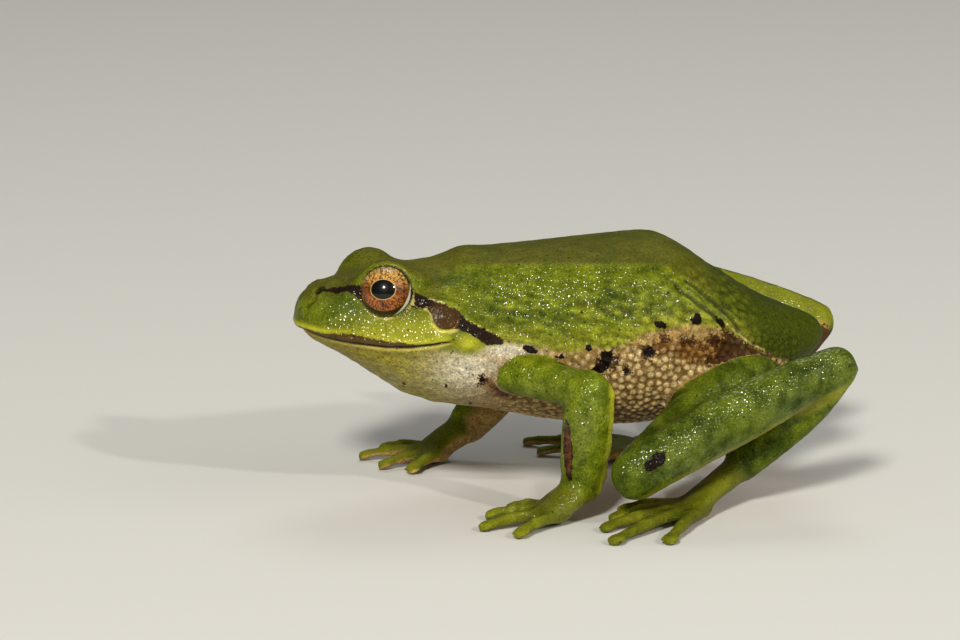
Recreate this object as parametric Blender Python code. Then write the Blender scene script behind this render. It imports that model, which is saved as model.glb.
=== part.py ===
# Pacific treefrog, a still life-size model of an adult about 42 mm from snout to vent.
# It sits high on its forearms with both hind legs folded, hands and feet flat on the floor.
# The frog faces -X, its left side is -Y, up is +Z, and the floor is z = 0.
# Sizes below are in millimetres and become metres where a mesh is made.

import math

import bmesh
import bpy
from mathutils import Matrix, Vector

MM = 0.001
GAP = 0.3                     # kept between pieces that meet
SIDES = {"left": -1.0, "right": 1.0}

# Trunk and head, as profiles along X.
SNOUT_X = -24.4
VENT_X = 18.0
NECK_X = -11.4                # the head ends behind the eardrums
MOUTH_CORNER_X = -13.1
MOUTH_DROP = 1.6              # how far the cut falls behind the corner of the mouth
JAW_RECESS = 0.35             # the lower jaw closes inside the upper lip
BODY_SIDES = 36
ROUND_END = ((0.28, 0.96), (0.6, 0.8), (0.87, 0.5))   # rings that close a limb, as shares of its thickness

MOUTH_LINE = ((-26.0, 14.25), (-23.8, 14.1), (-22.4, 13.8), (-20.4, 13.6), (-18.0, 13.43), (-16.3, 13.45),
              (-14.5, 13.68), (-13.1, 13.95))
BACK_LINE = ((-24.4, 15.4), (-24.15, 16.3), (-23.4, 17.15), (-22.0, 17.85), (-20.0, 18.3), (-17.0, 18.7),
             (-13.4, 19.05), (-11.2, 19.7), (-9.0, 20.0), (-4.0, 20.3), (1.0, 20.6), (4.4, 20.8),
             (6.0, 20.2), (8.5, 18.5), (11.0, 16.8), (14.0, 15.2), (16.6, 14.1), (17.6, 13.4), (18.0, 12.7))
BELLY_LINE = ((-24.4, 15.2), (-24.2, 14.2), (-23.6, 13.3), (-22.3, 12.6), (-20.3, 11.5), (-18.0, 9.9),
              (-16.0, 8.7), (-13.0, 7.8), (-9.5, 7.3), (-4.5, 6.3), (1.0, 5.8), (6.0, 6.2),
              (10.0, 7.5), (14.0, 9.2), (16.6, 10.5), (17.6, 11.4), (18.0, 12.2))
HALF_WIDTH = ((-24.4, 0.5), (-24.2, 1.55), (-23.6, 2.7), (-22.3, 3.95), (-20.3, 5.2), (-18.0, 6.2),
              (-15.5, 6.85), (-13.0, 7.1), (-11.0, 6.95), (-8.5, 6.75), (-5.0, 7.3), (-1.5, 8.2),
              (2.0, 8.6), (5.0, 8.3), (8.0, 7.3), (11.0, 6.1), (14.0, 5.0), (16.2, 3.9), (17.4, 2.7),
              (18.0, 1.1))
WIDEST_Z = ((-24.4, 15.3), (-23.0, 14.7), (-20.0, 14.2), (-14.0, 13.9), (-10.0, 13.2), (-4.0, 12.7),
            (2.0, 12.6), (8.0, 12.4), (14.0, 12.3), (18.0, 12.5))
TOP_SQUARENESS = ((-24.4, 2.0), (-21.5, 2.1), (-19.0, 2.5), (-15.0, 2.5), (-12.0, 2.4), (-6.0, 2.7),
                  (3.0, 2.9), (9.0, 2.4), (18.0, 2.0))
LOW_SQUARENESS = ((-24.4, 2.0), (-20.0, 2.0), (-12.0, 2.1), (0.0, 2.3), (10.0, 2.2), (18.0, 2.0))

# Eyes, eardrums and nostrils, given for the right side at +Y.
EYE_CENTRE = Vector((-17.75, 4.35, 17.5))
EYE_RADIUS = 2.1
EYE_AXIS = Vector((-0.33, 0.90, 0.28)).normalized()
LID_THICKNESS = 0.32
BROW_CENTRE = Vector((-17.3, 3.7, 17.15))
BROW_HALF_SIZES = {"left": (3.7, 2.6, 2.3), "right": (3.0, 2.6, 2.2)}
RIGHT_EYE_SHIFT = Vector((-0.5, 0.0, -0.25))      # the head is turned and tilted a little to its left
LID_OPENING_RADIUS = 2.14
LID_OPENING_START = 0.45      # how far out along its axis the eye comes clear of its lids
LID_RIM_TUBE = 0.27
EARDRUM_CENTRE = Vector((-13.55, 6.35, 15.75))
EARDRUM_AXIS = Vector((-0.10, 0.93, 0.36)).normalized()
EARDRUM_RADIUS = 1.02
EARDRUM_THICKNESS = 0.55
NOSTRIL_CENTRE = Vector((-22.7, 1.7, 17.2))
NOSTRIL_AXIS = Vector((-0.45, 0.62, 0.64)).normalized()
NOSTRIL_RADIUS = 0.26
LIP_TUBE = 0.3

# Where the joints of each limb lie. Both legs are folded, and the right hand is set further forward.
ARM_JOINTS = {
    "left": {"shoulder": (-8.6, -5.4, 11.2), "elbow": (-2.85, -10.9, 10.4), "wrist": (-3.4, -10.3, 2.6),
             "knuckles": (-6.1, -10.4, 1.0)},
    "right": {"shoulder": (-8.6, 5.4, 11.2), "elbow": (-3.7, 11.6, 8.6), "wrist": (-9.2, 11.7, 2.7),
              "knuckles": (-12.0, 11.7, 1.0)},
}
LEG_JOINTS = {
    "left": {"hip": (13.2, -2.2, 11.3), "knee": (0.0, -13.9, 4.45), "heel": (17.0, -10.3, 11.7),
             "ankle": (9.5, -8.0, 3.2), "knuckles": (4.8, -11.0, 0.85)},
    "right": {"hip": (13.4, 2.2, 12.8), "knee": (2.8, 13.4, 15.3), "heel": (20.4, 9.6, 11.3),
              "ankle": (10.2, 7.9, 2.8), "knuckles": (5.0, 10.4, 0.85)},
}

# Half widths and half depths along each segment, as (share of its length, across, through).
UPPER_ARM = ((0.0, 1.7, 1.6), (0.45, 1.6, 1.45), (0.8, 1.55, 1.4), (1.0, 1.75, 1.45))
FOREARM = ((0.0, 1.8, 1.5), (0.25, 2.0, 1.65), (0.6, 1.95, 1.55), (0.9, 1.75, 1.25), (1.0, 1.6, 1.15))
THIGH = ((0.0, 2.3, 2.0), (0.18, 2.8, 2.4), (0.4, 3.0, 2.5), (0.65, 2.75, 2.2), (0.85, 2.4, 1.9),
         (1.0, 2.0, 1.8))
SHANK = ((0.0, 2.1, 1.75), (0.2, 2.2, 1.8), (0.5, 2.3, 1.75), (0.8, 2.0, 1.55), (1.0, 1.7, 1.45))
TARSUS = ((0.0, 1.75, 1.4), (0.3, 1.75, 1.35), (0.7, 1.45, 1.2), (1.0, 1.3, 1.15))
THIGH_SAG = (0.0, 0.4, -0.35)   # how far the middle of a segment bows, given for the right side
SHANK_SAG = (0.0, 0.0, 0.3)
TARSUS_SAG = (0.3, -0.1, -0.3)
PALM = ((0.0, 1.5, 1.25), (0.5, 1.85, 1.15), (1.0, 2.05, 0.95))
SOLE = ((0.0, 1.25, 1.1), (0.5, 1.6, 0.9), (1.0, 2.0, 0.75))

# Digits. Each: turn from the limb's own heading (outwards is positive), length, sideways root offset.
FINGERS = ((-46.0, 4.9, -0.85), (-17.0, 5.9, -0.45), (12.0, 7.0, 0.25), (40.0, 6.0, 0.8))
TOES = ((-42.0, 5.6, -0.95), (-23.0, 6.9, -0.6), (-7.0, 9.2, -0.15), (9.0, 11.4, 0.35),
        (27.0, 9.0, 0.85))
DIGIT_SIDES = 8
DIGIT_ROOT_BACK = 1.1         # how far inside the palm or sole a digit starts
DIGIT_ROOT_Z = 0.72
DIGIT_STUB = 2.6              # the length of a digit that stays with the palm or sole
DIGIT_SIZES = ((0.0, 0.62, 0.55), (0.3, 0.56, 0.52), (0.45, 0.48, 0.46), (0.6, 0.53, 0.5), (0.8, 0.42, 0.42),
               (1.0, 0.4, 0.4))
DISC_SIZES = ((1.3, 0.42, 0.4), (1.02, 0.6, 0.38), (0.66, 0.75, 0.38), (0.3, 0.68, 0.34), (0.08, 0.42, 0.26))
DIGIT_REST_Z = 0.33           # height of a toe disc's middle above the floor
DIGIT_ARCH = 0.4              # how far a digit arches up between its root and its disc
WEB_THICKNESS = 0.5
WEB_REACH = 2.3               # how far the web runs along each toe, and how far its free edge draws in
WEB_NOTCH = 0.9

# Colours are linear RGB, with roughness.
FINISHES = {
    "green_skin": ((0.13, 0.27, 0.025), 0.38),
    "pale_skin": ((0.55, 0.50, 0.26), 0.42),
    "copper_iris": ((0.55, 0.21, 0.05), 0.12),
    "brown_eardrum": ((0.09, 0.055, 0.02), 0.4),
}


def smooth_value(points, x):
    """Monotone cubic through (x, value) pairs, so that a profile never overshoots its own points."""
    if x <= points[0][0]:
        return points[0][1]
    if x >= points[-1][0]:
        return points[-1][1]
    slopes = [(b[1] - a[1]) / (b[0] - a[0]) for a, b in zip(points, points[1:])]
    tangents = [slopes[0]]
    for before, after in zip(slopes, slopes[1:]):
        tangents.append(0.0 if before * after <= 0 else 2 * before * after / (before + after))
    tangents.append(slopes[-1])
    i = max(k for k, p in enumerate(points[:-1]) if p[0] <= x)
    width = points[i + 1][0] - points[i][0]
    t = (x - points[i][0]) / width
    return ((2 * t**3 - 3 * t**2 + 1) * points[i][1] + (t**3 - 2 * t**2 + t) * width * tangents[i]
            + (3 * t**2 - 2 * t**3) * points[i + 1][1] + (t**3 - t**2) * width * tangents[i + 1])


def smooth_sizes(table, t):
    """Half width and half depth of a limb at share t of its length."""
    return (smooth_value([(row[0], row[1]) for row in table], t),
            smooth_value([(row[0], row[2]) for row in table], t))


def make_finish(name):
    colour, roughness = FINISHES[name]
    finish = bpy.data.materials.new(name)
    finish.use_nodes = True
    shader = finish.node_tree.nodes["Principled BSDF"]
    shader.inputs["Base Color"].default_value = (*colour, 1.0)
    shader.inputs["Roughness"].default_value = roughness
    shader.inputs["Metallic"].default_value = 0.0
    return finish


def link_mesh(name, bm):
    """Makes an object of a bmesh given in millimetres."""
    bmesh.ops.recalc_face_normals(bm, faces=bm.faces)
    bmesh.ops.scale(bm, vec=(MM, MM, MM), verts=bm.verts)
    mesh = bpy.data.meshes.new(name)
    bm.to_mesh(mesh)
    bm.free()
    obj = bpy.data.objects.new(name, mesh)
    bpy.context.scene.collection.objects.link(obj)
    return obj


def loft(rings):
    """A closed bmesh through rings of points, each end closed by one face."""
    bm = bmesh.new()
    loops = [[bm.verts.new(p) for p in ring] for ring in rings]
    count = len(loops[0])
    for near, far in zip(loops, loops[1:]):
        for k in range(count):
            bm.faces.new((near[k], near[(k + 1) % count], far[(k + 1) % count], far[k]))
    bm.faces.new(loops[0][::-1])
    bm.faces.new(loops[-1])
    return bm


def trim(bm, point, normal):
    """Cuts away what lies ahead of a plane and closes the cut flat."""
    cut = bmesh.ops.bisect_plane(bm, geom=[*bm.verts, *bm.edges, *bm.faces], plane_co=point, plane_no=normal,
                                 clear_outer=True, dist=1e-5)
    edges = [e for e in cut["geom_cut"] if isinstance(e, bmesh.types.BMEdge)]
    bmesh.ops.edgeloop_fill(bm, edges=edges)
    return bm


def combine(target, pieces, operation, solver="EXACT"):
    """Applies one Boolean of all the pieces to the target, and removes the pieces."""
    group = bpy.data.collections.new("pieces")
    for piece in pieces:
        group.objects.link(piece)
    modifier = target.modifiers.new("combine", "BOOLEAN")
    modifier.operation = operation
    modifier.operand_type = "COLLECTION"
    modifier.collection = group
    modifier.solver = solver
    shaped = bpy.data.meshes.new_from_object(target.evaluated_get(bpy.context.evaluated_depsgraph_get()))
    target.modifiers.clear()
    target.data = shaped
    for piece in pieces:
        bpy.data.objects.remove(piece)
    bpy.data.collections.remove(group)
    return target


def loose_bodies(obj):
    """The mesh's separate closed surfaces, largest first, each as its own object."""
    bm = bmesh.new()
    bm.from_mesh(obj.data)
    left = set(bm.verts)
    groups = []
    while left:
        front = [left.pop()]
        group = set(front)
        while front:
            for edge in front.pop().link_edges:
                for vert in edge.verts:
                    if vert in left:
                        left.remove(vert)
                        group.add(vert)
                        front.append(vert)
        groups.append({v.index for v in group})
    bm.free()
    made = []
    for group in sorted(groups, key=len, reverse=True):
        part = bmesh.new()
        part.from_mesh(obj.data)
        bmesh.ops.delete(part, geom=[v for v in part.verts if v.index not in group], context="VERTS")
        bmesh.ops.scale(part, vec=(1 / MM, 1 / MM, 1 / MM), verts=part.verts)
        made.append(link_mesh(obj.name + "_body", part))
    bpy.data.objects.remove(obj)
    return made


def finish_node(obj, name, finish):
    """Keeps the largest surface of a node, names it, and gives it its material and smooth shading."""
    bodies = loose_bodies(obj)
    for scrap in bodies[1:]:
        bpy.data.objects.remove(scrap)
    node = bodies[0]
    for shared in node.users_collection:
        shared.objects.unlink(node)
    bpy.data.collections["treefrog"].objects.link(node)
    node.name = name
    node.data.name = name
    node.data.materials.clear()
    node.data.materials.append(finish)
    node.data.shade_smooth()
    node.data.set_sharp_from_angle(angle=math.radians(50))
    return node


def mirrored(point, side):
    """A point or direction given for the right side, moved to the side asked for."""
    return Vector((point[0], point[1] * side, point[2]))


def ball(name, centre, radius, rings=12, sides=20, axis=(0, 0, 1), stretch=(1.0, 1.0, 1.0)):
    bm = bmesh.new()
    bmesh.ops.create_uvsphere(bm, u_segments=sides, v_segments=rings, radius=radius)
    bmesh.ops.scale(bm, vec=stretch, verts=bm.verts)
    turn = Vector(axis).to_track_quat("Z", "Y").to_matrix().to_4x4()
    bmesh.ops.transform(bm, matrix=Matrix.Translation(centre) @ turn, verts=bm.verts)
    return link_mesh(name, bm)


def drum(name, centre, axis, radius, depth, sides=24, end_radius=None):
    """A cylinder or cone from its centre point along its axis."""
    bm = bmesh.new()
    bmesh.ops.create_cone(bm, cap_ends=True, segments=sides, radius1=radius,
                          radius2=radius if end_radius is None else end_radius, depth=depth)
    turn = Vector(axis).to_track_quat("Z", "Y").to_matrix().to_4x4()
    bmesh.ops.transform(bm, matrix=Matrix.Translation(centre) @ turn, verts=bm.verts)
    return link_mesh(name, bm)


def hoop(name, centre, axis, radius, tube, around=28, across=8):
    """A ring of round section about an axis."""
    turn = Vector(axis).to_track_quat("Z", "Y").to_matrix()
    bm = bmesh.new()
    loops = []
    for i in range(around):
        a = 2 * math.pi * i / around
        out = Vector((math.cos(a), math.sin(a), 0))
        loop = []
        for j in range(across):
            b = 2 * math.pi * j / across
            local = out * (radius + tube * math.cos(b)) + Vector((0, 0, tube * math.sin(b)))
            loop.append(bm.verts.new(Vector(centre) + turn @ local))
        loops.append(loop)
    for i in range(around):
        near, far = loops[i], loops[(i + 1) % around]
        for j in range(across):
            bm.faces.new((near[j], near[(j + 1) % across], far[(j + 1) % across], far[j]))
    return link_mesh(name, bm)


def body_point(x, angle, swell=0.0):
    """A point of the trunk's skin: angle 0 is the right flank, 90 degrees the back."""
    top = smooth_value(BACK_LINE, x)
    low = smooth_value(BELLY_LINE, x)
    level = min(max(smooth_value(WIDEST_Z, x), low + 0.1), top - 0.1)
    half_width = smooth_value(HALF_WIDTH, x) + swell
    c, s = math.cos(angle), math.sin(angle)
    power = 2 / smooth_value(TOP_SQUARENESS if s >= 0 else LOW_SQUARENESS, x)
    height = (top - level if s >= 0 else level - low) + swell
    return Vector((x, math.copysign(abs(c) ** power, c) * half_width,
                   level + math.copysign(abs(s) ** power, s) * height))


def body_stations():
    """Cross-sections along the trunk, closer together at the snout and the vent."""
    stations = [SNOUT_X, SNOUT_X + 0.12, SNOUT_X + 0.35, SNOUT_X + 0.8, SNOUT_X + 1.4]
    x = SNOUT_X + 2.1
    while x < VENT_X - 1.7:
        stations.append(x)
        x += 0.85 if x < NECK_X else 1.15
    return stations + [VENT_X - 1.2, VENT_X - 0.7, VENT_X - 0.35, VENT_X - 0.1, VENT_X]


def trunk(swell=0.0):
    rings = []
    for x in body_stations():
        shifted = x - swell if x == SNOUT_X else x + swell if x == VENT_X else x
        ring = [body_point(x, 2 * math.pi * k / BODY_SIDES, swell) for k in range(BODY_SIDES)]
        rings.append([Vector((shifted, p.y, p.z)) for p in ring])
    return loft(rings)


def lip_line(lift, inset, spacing=1.05):
    """Evenly spaced points round the edge of the upper jaw, from one corner of the mouth to the other."""
    side = []
    for k in range(200):
        x = MOUTH_CORNER_X + (SNOUT_X - MOUTH_CORNER_X) * k / 199
        z = smooth_value(MOUTH_LINE, x) + lift
        level = smooth_value(WIDEST_Z, x)
        share = max(0.0, (level - z) / (level - smooth_value(BELLY_LINE, x)))
        if share >= 1:
            break
        power = smooth_value(LOW_SQUARENESS, x)
        half_width = smooth_value(HALF_WIDTH, x) * (1 - share ** power) ** (1 / power)
        side.append(Vector((x, half_width - inset, z)))
    side = [p for p in side if p.y > 0.3]
    dense = side + [Vector((p.x, -p.y, p.z)) for p in reversed(side)]
    even = [dense[0]]
    for point in dense[1:-1]:
        if (point - even[-1]).length >= spacing:
            even.append(point)
    return even + [dense[-1]]


def tube(name, points, radius, bevel=2):
    """A round cord of a curve through points, as a closed mesh."""
    curve = bpy.data.curves.new(name, "CURVE")
    curve.dimensions = "3D"
    curve.bevel_depth = radius * MM
    curve.bevel_resolution = bevel
    curve.use_fill_caps = True
    spline = curve.splines.new("POLY")
    spline.points.add(len(points) - 1)
    for place, point in zip(spline.points, points):
        place.co = (*(point * MM), 1.0)
    guide = bpy.data.objects.new(name, curve)
    bpy.context.scene.collection.objects.link(guide)
    mesh = bpy.data.meshes.new_from_object(guide.evaluated_get(bpy.context.evaluated_depsgraph_get()))
    bm = bmesh.new()
    bm.from_mesh(mesh)
    bmesh.ops.remove_doubles(bm, verts=bm.verts, dist=1e-7)
    bmesh.ops.scale(bm, vec=(1 / MM, 1 / MM, 1 / MM), verts=bm.verts)
    bpy.data.objects.remove(guide)
    return link_mesh(name, bm)


def mouth_cutter():
    """A thin sheet along the mouth line that turns down behind the corner of the mouth."""
    half = GAP / 2
    profile = [*MOUTH_LINE, (NECK_X + 1.0, MOUTH_LINE[-1][1] - MOUTH_DROP)]
    upper = [(x, z + half) for x, z in profile]
    lower = [(x, z - half) for x, z in profile][::-1]
    rings = [[Vector((x, y, z)) for x, z in upper + lower] for y in (-12.0, 12.0)]
    return link_mesh("mouth_cutter", loft(rings))


def by_the_eye(point, side):
    """A point at the right eye, moved to the side asked for, with the turn of the head."""
    return mirrored(point, side) + RIGHT_EYE_SHIFT * max(0, side)


def build_head_and_jaw():
    bm = trim(trunk(), Vector((NECK_X - GAP / 2, 0, 0)), Vector((1, 0, 0)))
    head = link_mesh("head_whole", bm)
    lumps, hollows = [], []
    for side_name, side in SIDES.items():
        eye, axis = by_the_eye(EYE_CENTRE, side), mirrored(EYE_AXIS, side)
        ear, ear_axis = mirrored(EARDRUM_CENTRE, side), mirrored(EARDRUM_AXIS, side)
        nose, nose_axis = mirrored(NOSTRIL_CENTRE, side), mirrored(NOSTRIL_AXIS, side)
        socket = EYE_RADIUS + GAP
        lumps.append(ball("brow", by_the_eye(BROW_CENTRE, side), 1.0, 12, 22,
                          stretch=BROW_HALF_SIZES[side_name]))
        lumps.append(ball("lid", eye, socket + LID_THICKNESS, axis=axis))
        lumps.append(hoop("lid_rim", eye + axis * LID_OPENING_START, axis, socket + LID_RIM_TUBE * 0.6,
                          LID_RIM_TUBE, 24, 6))
        lumps.append(hoop("ear_rim", ear, ear_axis, EARDRUM_RADIUS + GAP + 0.1, 0.24, 20, 6))
        lumps.append(ball("nostril_mound", nose - nose_axis * 0.25, 0.55, 8, 12, nose_axis))
        hollows.append(ball("socket", eye, socket, axis=axis))
        hollows.append(drum("opening", eye + axis * (LID_OPENING_START + 2), axis, LID_OPENING_RADIUS, 4,
                            end_radius=LID_OPENING_RADIUS + 0.6))
        hollows.append(drum("ear_seat", ear + ear_axis * 0.55, ear_axis, EARDRUM_RADIUS + GAP,
                            EARDRUM_THICKNESS + 2 * (0.55 + GAP)))
        hollows.append(ball("nostril", nose + nose_axis * 0.3, NOSTRIL_RADIUS, 8, 10, nose_axis,
                            (1, 1, 2.2)))
    lumps.append(tube("upper_lip", lip_line(GAP / 2 + LIP_TUBE * 0.9, LIP_TUBE * 0.55), LIP_TUBE, 1))
    combine(head, lumps, "UNION", "MANIFOLD")
    combine(head, hollows, "DIFFERENCE", "MANIFOLD")
    combine(head, [mouth_cutter()], "DIFFERENCE", "MANIFOLD")
    bodies = loose_bodies(head)
    for scrap in bodies[2:]:
        bpy.data.objects.remove(scrap)
    middle = [sum(v.co.z for v in part.data.vertices) / len(part.data.vertices) for part in bodies[:2]]
    upper, lower = bodies[:2] if middle[0] > middle[1] else bodies[1::-1]
    for vert in lower.data.vertices:
        forward = max(0.0, (NECK_X * MM - vert.co.x) / ((NECK_X - SNOUT_X) * MM))
        vert.co.x += JAW_RECESS * MM * forward
        vert.co.y *= 1 - 0.05 * min(1.0, forward * 3)
    return upper, lower


def build_torso():
    return link_mesh("torso_whole", trim(trunk(), Vector((NECK_X + GAP / 2, 0, 0)), Vector((-1, 0, 0))))


def limb_rings(start, end, table, wide, sag, sides, steps):
    """Rings along a segment: wide is the direction of its half width, sag bows its middle."""
    start, end, sag = Vector(start), Vector(end), Vector(sag)
    rings = []

    def ring(t, shrink, push):
        across, through = smooth_sizes(table, t)
        middle = start.lerp(end, t) + sag * 4 * t * (1 - t)
        along = (end - start + sag * 4 * (1 - 2 * t)).normalized()
        side = (Vector(wide) - along * Vector(wide).dot(along)).normalized()
        depth = along.cross(side)
        middle = middle + along * push * min(across, through)
        return [middle + side * across * shrink * math.cos(a) + depth * through * shrink * math.sin(a)
                for a in (2 * math.pi * k / sides for k in range(sides))]

    rings += [ring(0.0, shrink, -push) for shrink, push in ROUND_END]
    rings += [ring(k / steps, 1.0, 0.0) for k in range(steps + 1)]
    rings += [ring(1.0, shrink, push) for shrink, push in reversed(ROUND_END)]
    return rings


def mitre(before, joint, after):
    """The plane that parts two segments at their joint, as its normal from the first to the second."""
    inward = (Vector(joint) - Vector(before)).normalized()
    outward = (Vector(after) - Vector(joint)).normalized()
    return (inward + outward).normalized()


def segment(name, start, end, table, wide, before=None, after=None, sag=(0, 0, 0), sides=16, steps=9):
    """One limb segment, cut flat at each joint that it shares with its neighbours."""
    bm = loft(limb_rings(start, end, table, wide, sag, sides, steps))
    bmesh.ops.recalc_face_normals(bm, faces=bm.faces)
    if before is not None:
        normal = mitre(before, start, end)
        trim(bm, Vector(start) + normal * GAP / 2, -normal)
    if after is not None:
        normal = mitre(start, end, after)
        trim(bm, Vector(end) - normal * GAP / 2, normal)
    return link_mesh(name, bm)


def digit_point(root, direction, length, along):
    """The middle of a digit at a distance from its root, arched between its root and its disc."""
    t = along / length
    height = root.z + (DIGIT_REST_Z - root.z) * t + DIGIT_ARCH * 4 * t * (1 - t)
    spot = root + direction * along
    return Vector((spot.x, spot.y, height))


def digit_ring(root, direction, length, along, sizes):
    across = Vector((-direction.y, direction.x, 0))
    middle = digit_point(root, direction, length, along)
    ring = []
    for k in range(DIGIT_SIDES):
        a = 2 * math.pi * k / DIGIT_SIDES
        spot = middle + across * sizes[0] * math.cos(a) + Vector((0, 0, sizes[1] * math.sin(a)))
        ring.append(Vector((spot.x, spot.y, max(spot.z, 0.0))))
    return ring


def digit_stub(root, direction, length):
    """The part of a digit that stays with the palm or sole."""
    end = DIGIT_STUB - GAP / 2
    stations = [end * k / 3 for k in range(4)]
    rings = [digit_ring(root, direction, length, d, smooth_sizes(DIGIT_SIZES, d / length)) for d in stations]
    return link_mesh("stub", loft(rings))


def digit_tip(name, root, direction, length):
    """A finger or toe beyond its parting, with the round disc at its tip."""
    start = DIGIT_STUB + GAP / 2
    disc = length - DISC_SIZES[0][0]
    steps = max(2, round(disc - start))
    stations = [start + (disc - start) * k / steps for k in range(steps)]
    rings = [digit_ring(root, direction, length, d, smooth_sizes(DIGIT_SIZES, d / length)) for d in stations]
    for back, wide, deep in DISC_SIZES:
        rings.append(digit_ring(root, direction, length, length - back, (wide, deep)))
    return link_mesh(name, loft(rings))


def web(first, second):
    """The thin skin between two toes, whose free edge is drawn in."""
    rings = []
    lift = Vector((0, 0, WEB_THICKNESS / 2))
    for u, reach in ((0.0, WEB_REACH), (0.5, WEB_REACH - WEB_NOTCH), (1.0, WEB_REACH)):
        stations = [reach * k / 2 for k in range(3)]
        middles = [digit_point(*first, d).lerp(digit_point(*second, d), u) for d in stations]
        rings.append([p + lift for p in middles] + [p - lift for p in reversed(middles)])
    return link_mesh("web", loft(rings))


def build_extremity(name, joints, before, wrist, table, digits, side, webbed):
    """A palm or sole with the roots of its digits, then each digit beyond its parting."""
    knuckles = Vector(joints["knuckles"])
    flat = segment(name + "_flat", wrist, knuckles, table, Vector((0, 1, 0)), before=before, sides=14,
                   steps=5)
    for vert in flat.data.vertices:
        vert.co.z = max(vert.co.z, 0.0)
    ahead = knuckles - Vector(wrist)
    ahead.z = 0
    ahead.normalize()
    outward = Vector((-ahead.y, ahead.x, 0))
    if outward.y * side < 0:
        outward.negate()
    places = []
    for spread, length, offset in digits:
        direction = Matrix.Rotation(math.radians(-spread * side), 3, "Z") @ ahead
        root = knuckles + outward * offset - ahead * DIGIT_ROOT_BACK
        root.z = DIGIT_ROOT_Z
        places.append((root, direction, length))
    joined = [digit_stub(*place) for place in places]
    if webbed:
        joined += [web(first, second) for first, second in zip(places, places[1:])]
    combine(flat, joined, "UNION")
    return flat, [digit_tip(f"{name}_{number}", *place) for number, place in enumerate(places, 1)]


def less_torso(limb):
    """Cuts a limb back to stand clear of the torso."""
    return combine(limb, [link_mesh("swollen_torso", trunk(GAP))], "DIFFERENCE")


def build_arm(side_name, skin):
    side = SIDES[side_name]
    joints = ARM_JOINTS[side_name]
    shoulder, elbow, wrist, knuckles = (joints[k] for k in ("shoulder", "elbow", "wrist", "knuckles"))
    upper = less_torso(segment("upper_arm_whole", shoulder, elbow, UPPER_ARM, (0, 0, 1), after=wrist))
    lower = less_torso(segment("forearm_whole", elbow, wrist, FOREARM, (1, 0, 0), before=shoulder,
                               after=knuckles))
    palm, fingers = build_extremity("finger", joints, elbow, wrist, PALM, FINGERS, side, False)
    finish_node(upper, f"upper_arm_{side_name}", skin)
    finish_node(lower, f"forearm_{side_name}", skin)
    finish_node(palm, f"hand_{side_name}", skin)
    for number, finger in enumerate(fingers, 1):
        finish_node(finger, f"finger_{side_name}_{number}", skin)


def build_leg(side_name, skin):
    side = SIDES[side_name]
    joints = LEG_JOINTS[side_name]
    hip, knee, heel, ankle, knuckles = (joints[k] for k in ("hip", "knee", "heel", "ankle", "knuckles"))
    thigh = segment("thigh_whole", hip, knee, THIGH, (0, 0, 1), after=heel, sag=mirrored(THIGH_SAG, side),
                    sides=18, steps=11)
    thigh = less_torso(thigh)
    shank = segment("shank_whole", knee, heel, SHANK, (0, 0, 1), before=hip, after=ankle, sag=SHANK_SAG,
                    sides=18, steps=11)
    tarsus = segment("tarsus_whole", heel, ankle, TARSUS, (0, 0, 1), before=knee, after=knuckles,
                     sag=TARSUS_SAG, steps=6)
    sole, toes = build_extremity("toe", joints, heel, ankle, SOLE, TOES, side, True)
    finish_node(thigh, f"thigh_{side_name}", skin)
    finish_node(shank, f"shank_{side_name}", skin)
    finish_node(tarsus, f"tarsus_{side_name}", skin)
    finish_node(sole, f"foot_{side_name}", skin)
    for number, toe in enumerate(toes, 1):
        finish_node(toe, f"toe_{side_name}_{number}", skin)


def build_frog():
    finishes = {name: make_finish(name) for name in FINISHES}
    head, jaw = build_head_and_jaw()
    finish_node(head, "head", finishes["green_skin"])
    finish_node(jaw, "lower_jaw", finishes["pale_skin"])
    finish_node(build_torso(), "torso", finishes["green_skin"])
    for side_name, side in SIDES.items():
        eye = ball("eye_whole", by_the_eye(EYE_CENTRE, side), EYE_RADIUS, axis=mirrored(EYE_AXIS, side))
        finish_node(eye, f"eye_{side_name}", finishes["copper_iris"])
        ear = drum("eardrum_whole", mirrored(EARDRUM_CENTRE, side), mirrored(EARDRUM_AXIS, side),
                   EARDRUM_RADIUS, EARDRUM_THICKNESS, 20)
        finish_node(ear, f"eardrum_{side_name}", finishes["brown_eardrum"])
        build_arm(side_name, finishes["green_skin"])
        build_leg(side_name, finishes["green_skin"])


def centre_over_origin():
    """Moves the finished meshes so that the middle of the frog's box stands over the origin."""
    nodes = bpy.data.collections["treefrog"].objects
    points = [vert.co for node in nodes for vert in node.data.vertices]
    middle = [(min(p[i] for p in points) + max(p[i] for p in points)) / 2 for i in range(2)]
    for node in nodes:
        node.data.transform(Matrix.Translation((-middle[0], -middle[1], 0.0)))


def clear_scene():
    for obj in list(bpy.data.objects):
        bpy.data.objects.remove(obj)
    frog = bpy.data.collections.new("treefrog")
    bpy.context.scene.collection.children.link(frog)


clear_scene()
build_frog()
centre_over_origin()
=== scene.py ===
# Pacific treefrog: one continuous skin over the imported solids, with finished eyes and eardrums.
# Sizes are millimetres in the frog's own frame, snout towards -X and left side towards -Y.
import math
from itertools import product

import bmesh
import bpy
import numpy as np
from mathutils import Matrix, Vector, noise
from mathutils.bvhtree import BVHTree
from mathutils.kdtree import KDTree


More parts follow.
